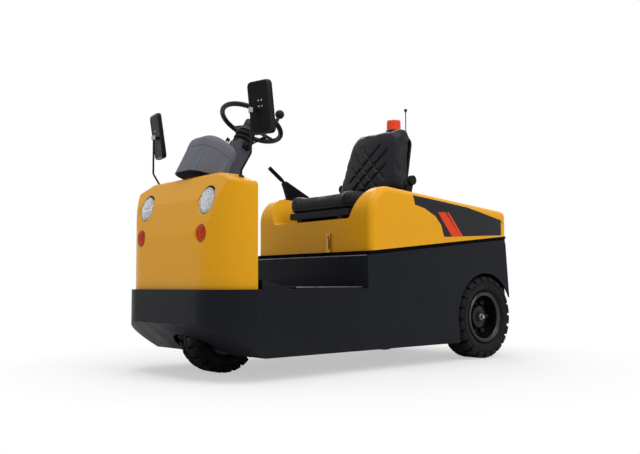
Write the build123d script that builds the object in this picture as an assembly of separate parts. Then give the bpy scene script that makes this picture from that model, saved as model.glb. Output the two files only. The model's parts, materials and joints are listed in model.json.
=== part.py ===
from build123d import *
import os
from math import atan, cos, degrees, radians, sin, sqrt

# Electric tow tractor with one steered front wheel, in millimetres.
# X runs forward from the rear axle, Y to the driver's left, Z up from the ground.

# Wheels and tyres
WHEELBASE = 1496.0
REAR_TYRE_R = 232.5
REAR_TYRE_W = 158.0
REAR_RIM_R = REAR_TYRE_R - 89.5
REAR_BORE_R = 30.0
FRONT_TYRE_R = 200.0
FRONT_TYRE_W = 140.0
FRONT_RIM_R = FRONT_TYRE_R - 88.0
FRONT_BORE_R = 16.0
RIM_WALL = 8.0
FLANGE_H = 8.0
LUG_COUNT = 22
LUG_DEPTH = 20.0
LUG_SLOT_W = 13.0
RUNNING_GAP = 0.05
SEAT_GAP = 0.3

# Chassis plates
BODY_HALF_W = 465.0
PLATE_T = 10.0
KEEL_Z = 100.0
DECK_Z = 2 * FRONT_TYRE_R
DECK_T = 8.0
BELLY_T = 6.0
BOW_X = WHEELBASE + 74.0
NOSE_X = WHEELBASE + 309.0
NOSE_KEEL_Z = 245.0
NOSE_CORNER_R = 205.0
WALL_X = 940.0
SHOULDER_FRONT_Z = 564.0
SHOULDER_REAR_Z = 677.0
REAR_TOP_X = 38.5 - REAR_TYRE_R
REAR_RAKE = 29.0
REAR_RAKE_Z = REAR_TYRE_R + 108.5
REAR_TAIL_Z = 200.0
RAIL_H = 20.0
ARCH_GAP = 15.5
ARCH_FRONT_X = REAR_TYRE_R + 5.5
BULKHEAD_X = REAR_TYRE_R + 9.5
MAT_T = 6.0

# Nose cowl
COWL_INSET = 20.0
COWL_WALL = 6.0
COWL_BACK_X = WHEELBASE + 102.0
COWL_LEAN_Z = 650.0
COWL_CREASE_Z = 806.0
COWL_CREASE_BACK = 33.0
COWL_TOP_Z = 923.0
COWL_TOP_BACK = 83.0
COWL_CROWN_HALF_W = BODY_HALF_W - 175.0
COWL_EDGE_Z = 872.0
COWL_SOFT_R = 22.0
DASH_T = 8.0
LAMP_Y = BODY_HALF_W - 199.0
LAMP_Z = 797.0
LAMP_R = 61.0
LAMP_DEPTH = 46.0
SIGNAL_Z = 649.0
SIGNAL_R = 39.0
SIGNAL_DEPTH = 24.0
DISH_DEPTH = 9.0
DISH_FLARE = 20.0
DISH_WALL = 4.0

# Steering gear
STEER_HUB = (WHEELBASE - 187.0, 0.0, 1243.0)
STEER_LEAN = 28.0
STEER_RING_R = 160.0
SPINNER_TURN = 105.0
STEER_TUBE_R = 13.0
STEER_DISH = 40.0
STEER_SHAFT_R = 10.0
NECK_R = 36.0
NECK_L = 95.0
COLUMN_HALF_W = 48.0
COLUMN_HALF_D = 45.0
BINNACLE_HALF_W = 124.0
BINNACLE_FRONT = 226.0
BINNACLE_TOP = -222.0
BINNACLE_FOOT = -397.0
BINNACLE_CORNER_R = 85.0
BINNACLE_BACK_R = 50.0
BINNACLE_DOME_R = 48.0
BINNACLE_WALL = 5.0
CONSOLE_BACK_X = WHEELBASE - 124.0
CONSOLE_FRONT_X = WHEELBASE + 194.0
CONSOLE_HALF_W = 148.0
CONSOLE_TOP_Z = 560.0
CONSOLE_RAKE = 40.0
CONSOLE_WALL = 8.0
KINGPIN_R = 25.0
FORK_CROWN_Z = 2 * FRONT_TYRE_R + 8.0
FORK_CROWN_T = 24.0
FORK_LEG_T = 14.0
FORK_HALF_L = 40.0
FORK_FOOT_R = 32.0
SIDE_CLEAR = 8.0
TOE_START_X = WHEELBASE - 102.0
TOE_END_X = WHEELBASE + 70.0
TOE_RISE = 42.0

# Battery hood, hinged along its rear edge
HOOD_FRONT_X = WALL_X - 21.0
HOOD_REAR_X = REAR_TOP_X - 18.0
HOOD_GAP = 20.0
HOOD_WALL = 6.0
HOOD_CREST_Z = 930.0
HOOD_TAIL_Z = 843.0
HOOD_BROW_R = 140.0
HOOD_CORNER_R = 36.0
RECESS_Z = 757.0
RECESS_FOOT_HALF_W = BODY_HALF_W - 157.0
RECESS_CREST_HALF_W = BODY_HALF_W - 73.0
RECESS_BACK_X = 300.0
RECESS_BACK_RAKE = 70.0
HINGE_X = HOOD_REAR_X - 14.0
HINGE_LIFT = 4.0
HINGE_PIN_R = 6.0
HINGE_KNUCKLE_R = 12.0
HINGE_Y = BODY_HALF_W - 175.0
HINGE_KNUCKLE_L = 60.0
HINGE_EAR_T = 8.0
HINGE_EAR_H = 90.0
LATCH_Y = 155.0
LATCH_W = 34.0
LATCH_H = 100.0
LATCH_T = 9.0

# Driver's seat
SEAT_FRONT_X = HOOD_FRONT_X - 34.0
SEAT_BACK_X = SEAT_FRONT_X - 455.0
SEAT_HALF_W = RECESS_FOOT_HALF_W - 38.0
SEAT_FOOT_Z = 819.0
SEAT_TOP_Z = 898.0
SEAT_RAIL_Y = 165.0
BACK_FOOT_X = SEAT_BACK_X + 72.0
BACK_FOOT_Z = 862.0
BACK_LEAN = 15.0
BACK_H = 470.0
BACK_PAD_T = 62.0
BACK_SHELL_T = 22.0
BACK_SHELL_INSET = 25.0
RECLINER_R = 27.0
RECLINER_T = 7.0
BACK_FOOT_HALF_W = SEAT_HALF_W - 6.0
BACK_TOP_HALF_W = SEAT_HALF_W - 38.0

# Warning beacon, aerial, mirrors and brake lever
MAST_X = 150.0
BEACON_Y = -97.0
BEACON_R = 44.0
BEACON_H = 62.0
BEACON_FOOT_Z = 1366.0
MAST_R = 12.0
AERIAL_Y = 4.0
AERIAL_R = 3.0
AERIAL_TOP_Z = 1483.0
MIRROR_ARM_X = WHEELBASE + 131.0
MIRROR_ARM_FOOT_Y = BODY_HALF_W - 107.0
MIRROR_ARM_Y = BODY_HALF_W - 35.0
MIRROR_ARM_BEND_Z = 1000.0
MIRROR_ARM_TOP_Z = 1200.0
MIRROR_ARM_R = 5.0
MIRROR_Y = BODY_HALF_W - 14.0
MIRROR_Z = 1206.0
MIRROR_HALF_W = 64.0
MIRROR_HALF_H = 119.0
MIRROR_T = 22.0
MIRROR_CORNER_R = 24.0
MIRROR_TILT = 8.5
MIRROR_TURN = 12.0
MIRROR_STANDOFF = 50.0
LEVER_Y = 47.0 - BODY_HALF_W
LEVER_TIP = (871.0, 1102.0)
LEVER_KNEE = (760.0, 1024.0)
LEVER_HEEL_X = 571.0
LEVER_BODY_T = 26.0
LEVER_R = 9.0
GAITER_TIER_H = 12.0
GAITER_HALF_W = 22.0

# Rear axle and tow coupling
HANGER_Y = 200.0
HANGER_T = 12.0
AXLE_TUBE_R = 45.0
DIFF_R = REAR_TYRE_R - 120.5
MOTOR_R = 88.0
MOTOR_L = 300.0
MOTOR_X = 92.0
MOTOR_Z = REAR_TYRE_R + DIFF_R + 80.5
HANGER_TOP_Z = MOTOR_Z + 75.0
HANGER_FOOT_Z = REAR_TYRE_R - 57.5
JAW_Z = REAR_TYRE_R + 97.5
JAW_GAP = 70.0
JAW_PLATE_T = 22.0
JAW_HALF_W = 62.0
JAW_REACH = 128.0
TOW_PIN_R = 14.0
TOW_PIN_LIFT = 90.0
REAR_LAMP_W = 60.0
REAR_LAMP_H = 100.0
REAR_LAMP_T = 26.0

# Sizes that follow
REAR_WHEEL_Y = BODY_HALF_W - REAR_TYRE_W / 2
ARCH_R = REAR_TYRE_R + ARCH_GAP
NOSE_BACK_X = NOSE_X - NOSE_CORNER_R
BOW_SLOPE = (NOSE_KEEL_Z - KEEL_Z) / (NOSE_X - BOW_X)
SHOULDER_SLOPE = (SHOULDER_REAR_Z - SHOULDER_FRONT_Z) / (WALL_X - REAR_TOP_X)
INNER_HALF_W = BODY_HALF_W - PLATE_T
FORK_LEG_Y = FRONT_TYRE_W / 2 + SIDE_CLEAR
KINGPIN_TOP_Z = CONSOLE_TOP_Z - 2 * CONSOLE_WALL
COLUMN_AXIS = Vector(-sin(radians(STEER_LEAN)), 0, cos(radians(STEER_LEAN)))
COLUMN_FRONT = Vector(cos(radians(STEER_LEAN)), 0, sin(radians(STEER_LEAN)))


def shoulder_z(x):
    """Height of the chassis shoulder, which climbs towards the rear."""
    return SHOULDER_FRONT_Z + (WALL_X - x) * SHOULDER_SLOPE


def tail_x(z):
    """Outer face of the raked rear wall at a height."""
    return REAR_TOP_X - (SHOULDER_REAR_Z - z) * REAR_RAKE / (SHOULDER_REAR_Z - REAR_RAKE_Z)


def block(x, y, z):
    """Box between the low and high value on each axis."""
    size = (x[1] - x[0], y[1] - y[0], z[1] - z[0])
    middle = ((x[0] + x[1]) / 2, (y[0] + y[1]) / 2, (z[0] + z[1]) / 2)
    return Pos(*middle) * Box(*size)


def side_shape(points, y_low, y_high):
    """Outline in X and Z, thickened across the vehicle."""
    face = Plane.XZ * make_face(Polyline(*points, close=True))
    return Pos(0, y_low, 0) * extrude(face, amount=y_high - y_low, dir=(0, 1, 0))


def front_shape(points, x_low, x_high):
    """Outline in Y and Z, thickened along the vehicle."""
    face = Plane.YZ * make_face(Polyline(*points, close=True))
    return Pos(x_low, 0, 0) * extrude(face, amount=x_high - x_low, dir=(1, 0, 0))


def upright(face, z_low, z_high):
    """Plan outline raised between two heights."""
    return Pos(0, 0, z_low) * extrude(face, amount=z_high - z_low)


def rod(start, end, radius):
    """Round bar between two points."""
    start, end = Vector(*start), Vector(*end)
    run = end - start
    return extrude(Plane(start, z_dir=run) * Circle(radius), amount=run.length)


def tube_path(points, bend, radius):
    """Round bar along straight runs joined by bends."""
    path = FilletPolyline(*points, radius=bend)
    start = Plane(path @ 0, z_dir=path % 0)
    return sweep(start * Circle(radius), path=path)


def both_sides(solid):
    """The piece and its mirror image on the other side of the vehicle."""
    return solid + mirror(solid, about=Plane.XZ)


def nose_plan(inset, back_x):
    """Plan of the rounded nose, drawn in by an inset, from its front to back_x."""
    half_w = BODY_HALF_W - inset
    radius = NOSE_CORNER_R - inset
    front = NOSE_X - inset
    outline = Polyline((front, 0), (front, half_w), (back_x, half_w), (back_x, 0), close=True)
    half = fillet(make_face(outline).vertices().sort_by_distance((front, half_w))[0], radius)
    return half + mirror(half, about=Plane.XZ)


def below_bow():
    """Space under the rising keel of the nose."""
    reach = NOSE_X + PLATE_T
    points = [
        (BOW_X, KEEL_Z),
        (reach, KEEL_Z + (reach - BOW_X) * BOW_SLOPE),
        (reach, KEEL_Z - PLATE_T),
        (BOW_X, KEEL_Z - PLATE_T),
    ]
    return side_shape(points, -BODY_HALF_W - PLATE_T, BODY_HALF_W + PLATE_T)


def side_plate():
    """Left flank: low sill beside the footwell, tall panel beside the battery, arch at the rear wheel."""
    top = -RAIL_H
    points = [
        (ARCH_FRONT_X, KEEL_Z),
        (BOW_X, KEEL_Z),
        (NOSE_BACK_X, KEEL_Z + (NOSE_BACK_X - BOW_X) * BOW_SLOPE),
        (NOSE_BACK_X, DECK_Z),
        (WALL_X, DECK_Z),
        (WALL_X, SHOULDER_FRONT_Z + top),
        (tail_x(SHOULDER_REAR_Z + top), SHOULDER_REAR_Z + top),
        (tail_x(REAR_TYRE_R), REAR_TYRE_R),
        (ARCH_FRONT_X, REAR_TYRE_R),
    ]
    plate = side_shape(points, INNER_HALF_W, BODY_HALF_W)
    arch = rod((0, INNER_HALF_W - PLATE_T, REAR_TYRE_R), (0, BODY_HALF_W + PLATE_T, REAR_TYRE_R), ARCH_R)
    return plate - arch


def top_rails():
    """Ledge strip along the top edge of each flank, a little narrower than the plate."""
    points = [
        (WALL_X, SHOULDER_FRONT_Z - RAIL_H),
        (WALL_X, SHOULDER_FRONT_Z),
        (REAR_TOP_X, SHOULDER_REAR_Z),
        (tail_x(SHOULDER_REAR_Z - RAIL_H), SHOULDER_REAR_Z - RAIL_H),
    ]
    return both_sides(side_shape(points, INNER_HALF_W - 2 * PLATE_T, BODY_HALF_W - 3))


def hood_seal():
    """Dark rubber strip on the chassis shoulder that the closed hood comes down on."""
    rise = HOOD_GAP - SEAT_GAP
    outer = BODY_HALF_W - HOOD_WALL / 2
    inner = INNER_HALF_W - 2 * PLATE_T
    front = WALL_X - PLATE_T / 2
    rear = HOOD_REAR_X + HOOD_WALL
    points = [
        (front, shoulder_z(front)), (front, shoulder_z(front) + rise), (rear, shoulder_z(rear) + rise),
        (REAR_TOP_X, SHOULDER_REAR_Z),
    ]
    lip_back = HOOD_FRONT_X - 2 * HOOD_WALL
    lip_top = shoulder_z(HOOD_FRONT_X) + rise
    lip = block((lip_back, front), (-inner, inner), (SHOULDER_FRONT_Z, lip_top))
    return both_sides(side_shape(points, inner, outer)) + lip


def nose_plate():
    """Bumper plate bent round the nose, its lower edge rising forward."""
    ring = nose_plan(0, NOSE_BACK_X) - nose_plan(PLATE_T, NOSE_BACK_X - 1)
    return upright(ring, KEEL_Z, DECK_Z) - below_bow()


def belly_plate():
    """Plate under the nose that follows the rising keel, with a round opening for the steered wheel."""
    sweep = sqrt(FRONT_TYRE_R ** 2 + (FRONT_TYRE_W / 2) ** 2) + SIDE_CLEAR
    back_x = WHEELBASE - sweep - 3 * PLATE_T
    reach = NOSE_X + PLATE_T
    rise = (reach - BOW_X) * BOW_SLOPE
    points = [
        (back_x, KEEL_Z), (BOW_X, KEEL_Z), (reach, KEEL_Z + rise), (reach, KEEL_Z + rise + BELLY_T),
        (BOW_X, KEEL_Z + BELLY_T), (back_x, KEEL_Z + BELLY_T),
    ]
    plan = upright(nose_plan(PLATE_T, back_x), KEEL_Z, DECK_Z)
    plate = side_shape(points, -INNER_HALF_W, INNER_HALF_W) & plan
    return plate - rod((WHEELBASE, 0, 0), (WHEELBASE, 0, DECK_Z), sweep)


def deck_plate():
    """Flat floor of the footwell and the nose, with a round hole over the steered wheel."""
    plan = nose_plan(PLATE_T, WALL_X)
    hole = Pos(WHEELBASE, 0) * Circle(fork_sweep() + PLATE_T)
    return upright(plan - hole, DECK_Z - DECK_T, DECK_Z)


def fork_sweep():
    """Radius that the fork's crown sweeps when it steers."""
    return sqrt(FORK_HALF_L ** 2 + (FORK_LEG_Y + FORK_LEG_T) ** 2)


def toe_boards():
    """Sloping foot rests in front of the pedals, one on each side of the console."""
    points = [
        (TOE_START_X, DECK_Z),
        (TOE_END_X, DECK_Z),
        (TOE_END_X, DECK_Z + TOE_RISE),
        (TOE_END_X - DECK_T, DECK_Z + TOE_RISE),
    ]
    return both_sides(side_shape(points, CONSOLE_HALF_W, INNER_HALF_W - COWL_INSET))


def floor_mat():
    """Rubber mat on the footwell floor."""
    edge = 12.0
    back = WALL_X + edge
    reach = INNER_HALF_W - edge
    mat = block((back, TOE_START_X - edge), (-reach, reach), (DECK_Z, DECK_Z + MAT_T))
    room = block((CONSOLE_BACK_X - edge, TOE_START_X), (-CONSOLE_HALF_W - edge, CONSOLE_HALF_W + edge),
                 (DECK_Z - 1, DECK_Z + MAT_T + 1))
    return mat - room


def console():
    """Steering head: hollow box over the wheel with the kingpin's bearing in its roof."""
    def shell(inset):
        foot = DECK_Z if inset == 0 else DECK_Z - 1
        back = CONSOLE_BACK_X + inset
        front = CONSOLE_FRONT_X - inset
        top = CONSOLE_TOP_Z - inset
        points = [(back, foot), (back + CONSOLE_RAKE, top), (front, top), (front, foot)]
        return side_shape(points, -CONSOLE_HALF_W + inset, CONSOLE_HALF_W - inset)
    head = rod((WHEELBASE, 0, FORK_CROWN_Z + FORK_CROWN_T + SIDE_CLEAR), (WHEELBASE, 0, CONSOLE_TOP_Z),
               KINGPIN_R * 1.8)
    bore = rod((WHEELBASE, 0, DECK_Z), (WHEELBASE, 0, KINGPIN_TOP_Z + SEAT_GAP), KINGPIN_R + RUNNING_GAP)
    return shell(0) - shell(CONSOLE_WALL) + head - bore


def front_fork():
    """Two-legged fork with its crown, kingpin and wheel axle in one piece."""
    crown_top = FORK_CROWN_Z + FORK_CROWN_T
    outer = FORK_LEG_Y + FORK_LEG_T
    crown = block((WHEELBASE - FORK_HALF_L, WHEELBASE + FORK_HALF_L), (-outer, outer),
                  (FORK_CROWN_Z, crown_top))
    leg = side_shape(
        [
            (WHEELBASE - FORK_HALF_L, FORK_CROWN_Z),
            (WHEELBASE + FORK_HALF_L, FORK_CROWN_Z),
            (WHEELBASE + FORK_FOOT_R, FRONT_TYRE_R),
            (WHEELBASE - FORK_FOOT_R, FRONT_TYRE_R),
        ],
        FORK_LEG_Y, outer)
    leg += rod((WHEELBASE, FORK_LEG_Y, FRONT_TYRE_R), (WHEELBASE, outer, FRONT_TYRE_R), FORK_FOOT_R)
    axle = rod((WHEELBASE, -outer, FRONT_TYRE_R), (WHEELBASE, outer, FRONT_TYRE_R), FRONT_BORE_R)
    kingpin = rod((WHEELBASE, 0, crown_top), (WHEELBASE, 0, KINGPIN_TOP_Z), KINGPIN_R)
    return crown + both_sides(leg) + axle + kingpin


def tyre(radius, width, rim_r):
    """Solid industrial tyre about the Y axis: rounded walls and slotted shoulder lugs."""
    half = width / 2
    seat = rim_r - FLANGE_H + SEAT_GAP
    bead = half - RIM_WALL - 2 * FLANGE_H - SEAT_GAP
    wall = rim_r + SEAT_GAP + 4
    points = [
        (seat, bead), (wall, bead), (rim_r + 0.35 * (radius - rim_r), half - 3),
        (radius - LUG_DEPTH, half), (radius - 5, half - 8), (radius, half - 22),
    ]
    outline = Polyline(*points, *[(r, -y) for r, y in reversed(points)], close=True)
    ring = revolve(make_face(outline), axis=Axis.Y)
    pitch = 360 / LUG_COUNT
    slot_l = 0.33 * width
    slot_h = LUG_DEPTH - 3
    slots = []
    for side, turn in ((1, 0), (-1, 0.5)):
        slot = Pos(radius, side * (half - slot_l / 2 + 1), 0) * Box(2 * slot_h, slot_l, LUG_SLOT_W)
        slots += [Rot(0, (k + turn) * pitch, 0) * slot for k in range(LUG_COUNT)]
    return ring - slots


def rim(width, rim_r, bore_r, dish, hub_in, hub_out):
    """Disc wheel about the Y axis: flanged barrel, set-back disc and hub; +Y is outboard."""
    edge = width / 2 - RIM_WALL - FLANGE_H
    seat = rim_r - FLANGE_H
    drop = seat - RIM_WALL
    hub_r = bore_r * 2
    cap = hub_out - RIM_WALL
    points = [
        (bore_r, hub_in), (hub_r, hub_in), (hub_r, dish - RIM_WALL), (drop - 8, dish - RIM_WALL),
        (drop - 8, -edge), (rim_r, -edge), (rim_r, FLANGE_H - edge), (seat, FLANGE_H - edge),
        (seat, edge - FLANGE_H), (rim_r, edge - FLANGE_H), (rim_r, edge), (drop, edge),
        (drop - 3, edge - 14), (drop - 8, edge - 14), (drop - 8, dish), (hub_r + 14, dish),
        (hub_r, hub_out - 12), (0, hub_out), (0, cap), (bore_r, cap),
    ]
    return revolve(make_face(Polyline(*points, close=True)), axis=Axis.Y)


def front_rim():
    """Front disc wheel with a hub bored right through for the fork's axle."""
    reach = FRONT_TYRE_W / 2
    disc = rim(FRONT_TYRE_W, FRONT_RIM_R, FRONT_BORE_R + RUNNING_GAP, 4.0, -reach, reach + 12)
    hub = Rot(90, 0, 0) * Cylinder(FRONT_BORE_R * 2, 2 * reach)
    bore = Rot(90, 0, 0) * Cylinder(FRONT_BORE_R + RUNNING_GAP, 4 * reach)
    ends = Pos(0, reach + 20, 0) * Box(200, 40, 200)
    return disc + hub - bore - ends


def rear_axle():
    """Drive axle: tubes, bulged gear case and the stub shafts that carry the rear wheels."""
    tube_end = REAR_WHEEL_Y - REAR_TYRE_W / 2 + 8
    shaft_end = REAR_WHEEL_Y + 10
    points = [
        (0, 0), (DIFF_R, 0), (DIFF_R, 45), (DIFF_R - 40, 95), (AXLE_TUBE_R, 120), (AXLE_TUBE_R, tube_end),
        (REAR_BORE_R, tube_end), (REAR_BORE_R, shaft_end), (0, shaft_end),
    ]
    half = revolve(make_face(Polyline(*points, close=True)), axis=Axis.Y)
    return Pos(0, 0, REAR_TYRE_R) * both_sides(half)


def drive_motor():
    """Traction motor lying across the vehicle above the gear case."""
    body = rod((MOTOR_X, -MOTOR_L / 2, MOTOR_Z), (MOTOR_X, MOTOR_L / 2, MOTOR_Z), MOTOR_R)
    foot = block((MOTOR_X - 50, MOTOR_X + 30), (-40, 40), (REAR_TYRE_R, MOTOR_Z))
    case = rod((0, -MOTOR_L, REAR_TYRE_R), (0, MOTOR_L, REAR_TYRE_R), DIFF_R + SEAT_GAP)
    return body + (foot - case)


def axle_hangers():
    """Two plates between bulkhead and rear wall that clamp the axle tubes."""
    high, low = HANGER_TOP_Z, HANGER_FOOT_Z
    points = [
        (BULKHEAD_X, low), (BULKHEAD_X, high),
        (tail_x(high) + PLATE_T, high), (tail_x(low) + PLATE_T, low),
    ]
    plate = side_shape(points, HANGER_Y, HANGER_Y + HANGER_T)
    bore = rod((0, 0, REAR_TYRE_R), (0, BODY_HALF_W, REAR_TYRE_R), AXLE_TUBE_R + SEAT_GAP)
    return both_sides(plate - bore)


def rear_wall():
    """Raked rear plate, stepped down between the wheels to carry the tow coupling."""
    def slab(low, high, half_w):
        points = [(tail_x(low), low), (tail_x(high), high),
                  (tail_x(high) + PLATE_T, high), (tail_x(low) + PLATE_T, low)]
        return side_shape(points, -half_w, half_w)
    tongue = REAR_WHEEL_Y - REAR_TYRE_W / 2 - 30
    upper = slab(REAR_RAKE_Z, SHOULDER_REAR_Z, INNER_HALF_W - 2 * PLATE_T)
    return upper + slab(REAR_TAIL_Z, REAR_RAKE_Z + 1, tongue)


def battery_box():
    """Front wall, rear bulkhead, tray and the battery itself."""
    foot = KEEL_Z + PLATE_T
    across = (-INNER_HALF_W, INNER_HALF_W)
    wall = block((WALL_X - PLATE_T, WALL_X), across, (foot, SHOULDER_FRONT_Z))
    bulkhead = block((BULKHEAD_X, BULKHEAD_X + PLATE_T), across, (foot, SHOULDER_FRONT_Z))
    tray = block((BULKHEAD_X, WALL_X), across, (KEEL_Z, foot))
    margin = 14.0
    cell_half_w = INNER_HALF_W - 3 * margin
    cell = block((BULKHEAD_X + PLATE_T + margin, WALL_X - PLATE_T - margin), (-cell_half_w, cell_half_w),
                 (foot, SHOULDER_FRONT_Z - 2 * margin))
    corner = both_sides(block((0, WALL_X), (INNER_HALF_W - 2 * PLATE_T, BODY_HALF_W),
                              (SHOULDER_FRONT_Z - RAIL_H, SHOULDER_REAR_Z)))
    return wall - corner, bulkhead - corner, tray, cell


def cowl_form(inset):
    """Solid of the nose cowl, drawn in by an inset."""
    back = COWL_BACK_X if inset == 0 else COWL_BACK_X - 50
    foot = DECK_Z if inset == 0 else DECK_Z - 50
    front = NOSE_X - COWL_INSET - inset
    top = COWL_TOP_Z - inset
    plan = upright(nose_plan(COWL_INSET + inset, back), foot, COWL_TOP_Z)
    brow = [
        (back - 1, foot), (front, foot), (front, COWL_LEAN_Z),
        (front - COWL_CREASE_BACK, COWL_CREASE_Z), (front - COWL_TOP_BACK, top), (back - 1, top),
    ]
    width = BODY_HALF_W - COWL_INSET - inset
    edge = COWL_EDGE_Z - inset
    crown = [
        (-width, foot), (width, foot), (width, edge), (COWL_CROWN_HALF_W, top),
        (-COWL_CROWN_HALF_W, top), (-width, edge),
    ]
    form = plan & side_shape(brow, -width - 1, width + 1) & front_shape(crown, back, front)
    rim_edges = [e for e in form.edges() if e.center().Z > COWL_LEAN_Z + 20 and e.center().X > back + 1]
    return fillet(rim_edges, COWL_SOFT_R - inset)


def lamp_axis(z):
    """Point on the cowl's front and the direction it faces, at a lamp's height."""
    front = NOSE_X - COWL_INSET
    share = (z - COWL_LEAN_Z) / (COWL_CREASE_Z - COWL_LEAN_Z)
    lean = radians(12) if z > COWL_LEAN_Z else 0
    return Vector(front - max(share, 0) * COWL_CREASE_BACK, 0, z), Vector(cos(lean), 0, sin(lean))


def lamp_seat(y, z, depth):
    """Plane of a lamp's foot, its rim set back in a dish behind the cowl's face."""
    point, facing = lamp_axis(z)
    return Plane(point + Vector(0, y, 0) - facing * (depth + DISH_DEPTH), x_dir=(0, 1, 0), z_dir=facing)


def lamp_dish(radius, depth, wall):
    """Flared dish round a lamp on +Z: its wall, or with no wall the room inside it."""
    bore, wide = radius + SEAT_GAP, radius + DISH_FLARE
    low, high = depth, depth + 3 * DISH_DEPTH
    if wall:
        back = low - wall
        outline = [(bore, low), (wide, high), (wide + wall, high), (bore + wall, back), (bore, back)]
    else:
        outline = [(0, 0), (bore, 0), (bore, low), (wide, high), (0, high)]
    return revolve(Plane.XZ * make_face(Polyline(*outline, close=True)), axis=Axis.Z)


def cowl():
    """Pressed steel nose: a hollow shell open at the back and the foot, dished round its lamps."""
    form = cowl_form(0)
    shell = form - cowl_form(COWL_WALL)
    for y in (LAMP_Y, -LAMP_Y):
        for z, radius, depth in ((LAMP_Z, LAMP_R, LAMP_DEPTH), (SIGNAL_Z, SIGNAL_R, SIGNAL_DEPTH)):
            seat = lamp_seat(y, z, depth)
            shell -= seat * lamp_dish(radius, depth, 0)
            shell += seat * lamp_dish(radius, depth, DISH_WALL) & form
    return shell


def lamp_pot(radius, depth, rim_h, dome):
    """Lamp body and lens on +Z: a can with a rolled rim, and a domed glass inside it."""
    wall = 5.0
    seat = 8.0
    can = rod((0, 0, 0), (0, 0, depth + rim_h), radius)
    can -= rod((0, 0, depth - seat), (0, 0, 2 * depth), radius - wall)
    inner = radius - wall - SEAT_GAP
    ball = (inner ** 2 + dome ** 2) / (2 * dome)
    lens = rod((0, 0, depth - seat), (0, 0, 2 * depth), inner)
    lens &= Pos(0, 0, depth + dome - ball) * Sphere(ball)
    return can, lens


def lamps():
    """Headlamp cans and glasses, and the signal lamps' glasses in their cans."""
    cans, glasses, signals = [], [], []
    for y in (LAMP_Y, -LAMP_Y):
        can, glass = lamp_pot(LAMP_R, LAMP_DEPTH, 2.0, 9.0)
        seat = lamp_seat(y, LAMP_Z, LAMP_DEPTH)
        cans.append(seat * can)
        glasses.append(seat * glass)
        can, glass = lamp_pot(SIGNAL_R, SIGNAL_DEPTH, 1.0, 6.0)
        seat = lamp_seat(y, SIGNAL_Z, SIGNAL_DEPTH)
        cans.append(seat * can)
        signals.append(seat * glass)
    return Compound(cans), Compound(glasses), Compound(signals)


def column_point(along, front=0.0):
    """Point beside the steering column: along its axis from the hub and in front of it."""
    return Vector(*STEER_HUB) + COLUMN_AXIS * along + COLUMN_FRONT * front


def column_plane(along):
    """Plane across the column; its X points forward and its Y to the left."""
    return Plane(column_point(along), x_dir=COLUMN_FRONT, z_dir=COLUMN_AXIS)


def steering_column():
    """Leaning column cover that ends in a ribbed round neck with the shaft's bore."""
    top = -STEER_DISH
    cover_top = top - NECK_L
    length = (STEER_HUB[2] - CONSOLE_TOP_Z) / cos(radians(STEER_LEAN)) + cover_top + 2 * COLUMN_HALF_D
    cover = extrude(column_plane(cover_top) * RectangleRounded(2 * COLUMN_HALF_D, 2 * COLUMN_HALF_W, 14),
                    amount=-length)
    cover -= block((WHEELBASE, NOSE_X), (-BODY_HALF_W, BODY_HALF_W), (DECK_Z, CONSOLE_TOP_Z))
    neck = extrude(column_plane(cover_top) * Circle(NECK_R), amount=NECK_L - SEAT_GAP)
    for rib in (0.25, 0.55, 0.85):
        neck += extrude(column_plane(cover_top + rib * NECK_L - 5) * Circle(NECK_R + 7), amount=10)
    bore = extrude(column_plane(top) * Circle(STEER_SHAFT_R + RUNNING_GAP), amount=-NECK_L - SEAT_GAP)
    return cover + neck - bore


def binnacle():
    """Moulded instrument hood on the front of the column, open underneath."""
    def form(inset):
        foot = BINNACLE_FOOT if inset == 0 else BINNACLE_FOOT - 10
        back = COLUMN_HALF_D + inset
        depth = BINNACLE_FRONT - inset - back
        plan = Pos(back + depth / 2, 0) * Rectangle(depth, 2 * (BINNACLE_HALF_W - inset))
        plan = fillet(plan.vertices().group_by(Axis.X)[-1], BINNACLE_CORNER_R - inset)
        plan = fillet(plan.vertices().group_by(Axis.X)[0], BINNACLE_BACK_R - inset)
        body = extrude(column_plane(foot) * plan, amount=BINNACLE_TOP - inset - foot)
        cap = max(body.faces(), key=lambda f: f.center().dot(COLUMN_AXIS))
        crown = [e for e in cap.edges() if (e.center() - column_point(0)).dot(COLUMN_FRONT) > back + 15]
        return fillet(crown, BINNACLE_DOME_R - inset)
    return form(0) - form(BINNACLE_WALL)


def dash_panel():
    """Upright panel that closes the back of the cowl under the driver's hands."""
    slice_back = COWL_BACK_X - 2 * DASH_T
    section = cowl_form(COWL_WALL + SEAT_GAP) & block(
        (slice_back, slice_back + DASH_T), (-BODY_HALF_W, BODY_HALF_W), (DECK_Z, COWL_TOP_Z))
    section = Pos(2 * DASH_T, 0, 0) * section
    room = block((CONSOLE_BACK_X, NOSE_X), (-CONSOLE_HALF_W, CONSOLE_HALF_W), (DECK_Z, CONSOLE_TOP_Z))
    opening = Rectangle(2 * (COLUMN_HALF_D + SEAT_GAP), 2 * (COLUMN_HALF_W + SEAT_GAP))
    passage = extrude(column_plane(0) * opening, amount=-STEER_HUB[2])
    return section - room - passage


def steering_wheel():
    """Rim, three spokes and hub on the shaft."""
    rim_ring = revolve(Plane.XZ * (Pos(STEER_RING_R, 0) * Circle(STEER_TUBE_R)), axis=Axis.Z)
    hub = Pos(0, 0, -STEER_DISH) * Cylinder(34, 46, align=(Align.CENTER, Align.CENTER, Align.MIN))
    shaft = Pos(0, 0, -STEER_DISH - NECK_L + 10) * Cylinder(
        STEER_SHAFT_R, NECK_L, align=(Align.CENTER, Align.CENTER, Align.MIN))
    wheel = rim_ring + hub + shaft
    for turn in (60, 180, 300):
        spoke = rod((20, 0, -STEER_DISH + 18), (STEER_RING_R - 5, 0, -1), 8)
        wheel += Rot(0, 0, turn) * spoke
    return column_plane(0) * wheel


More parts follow.
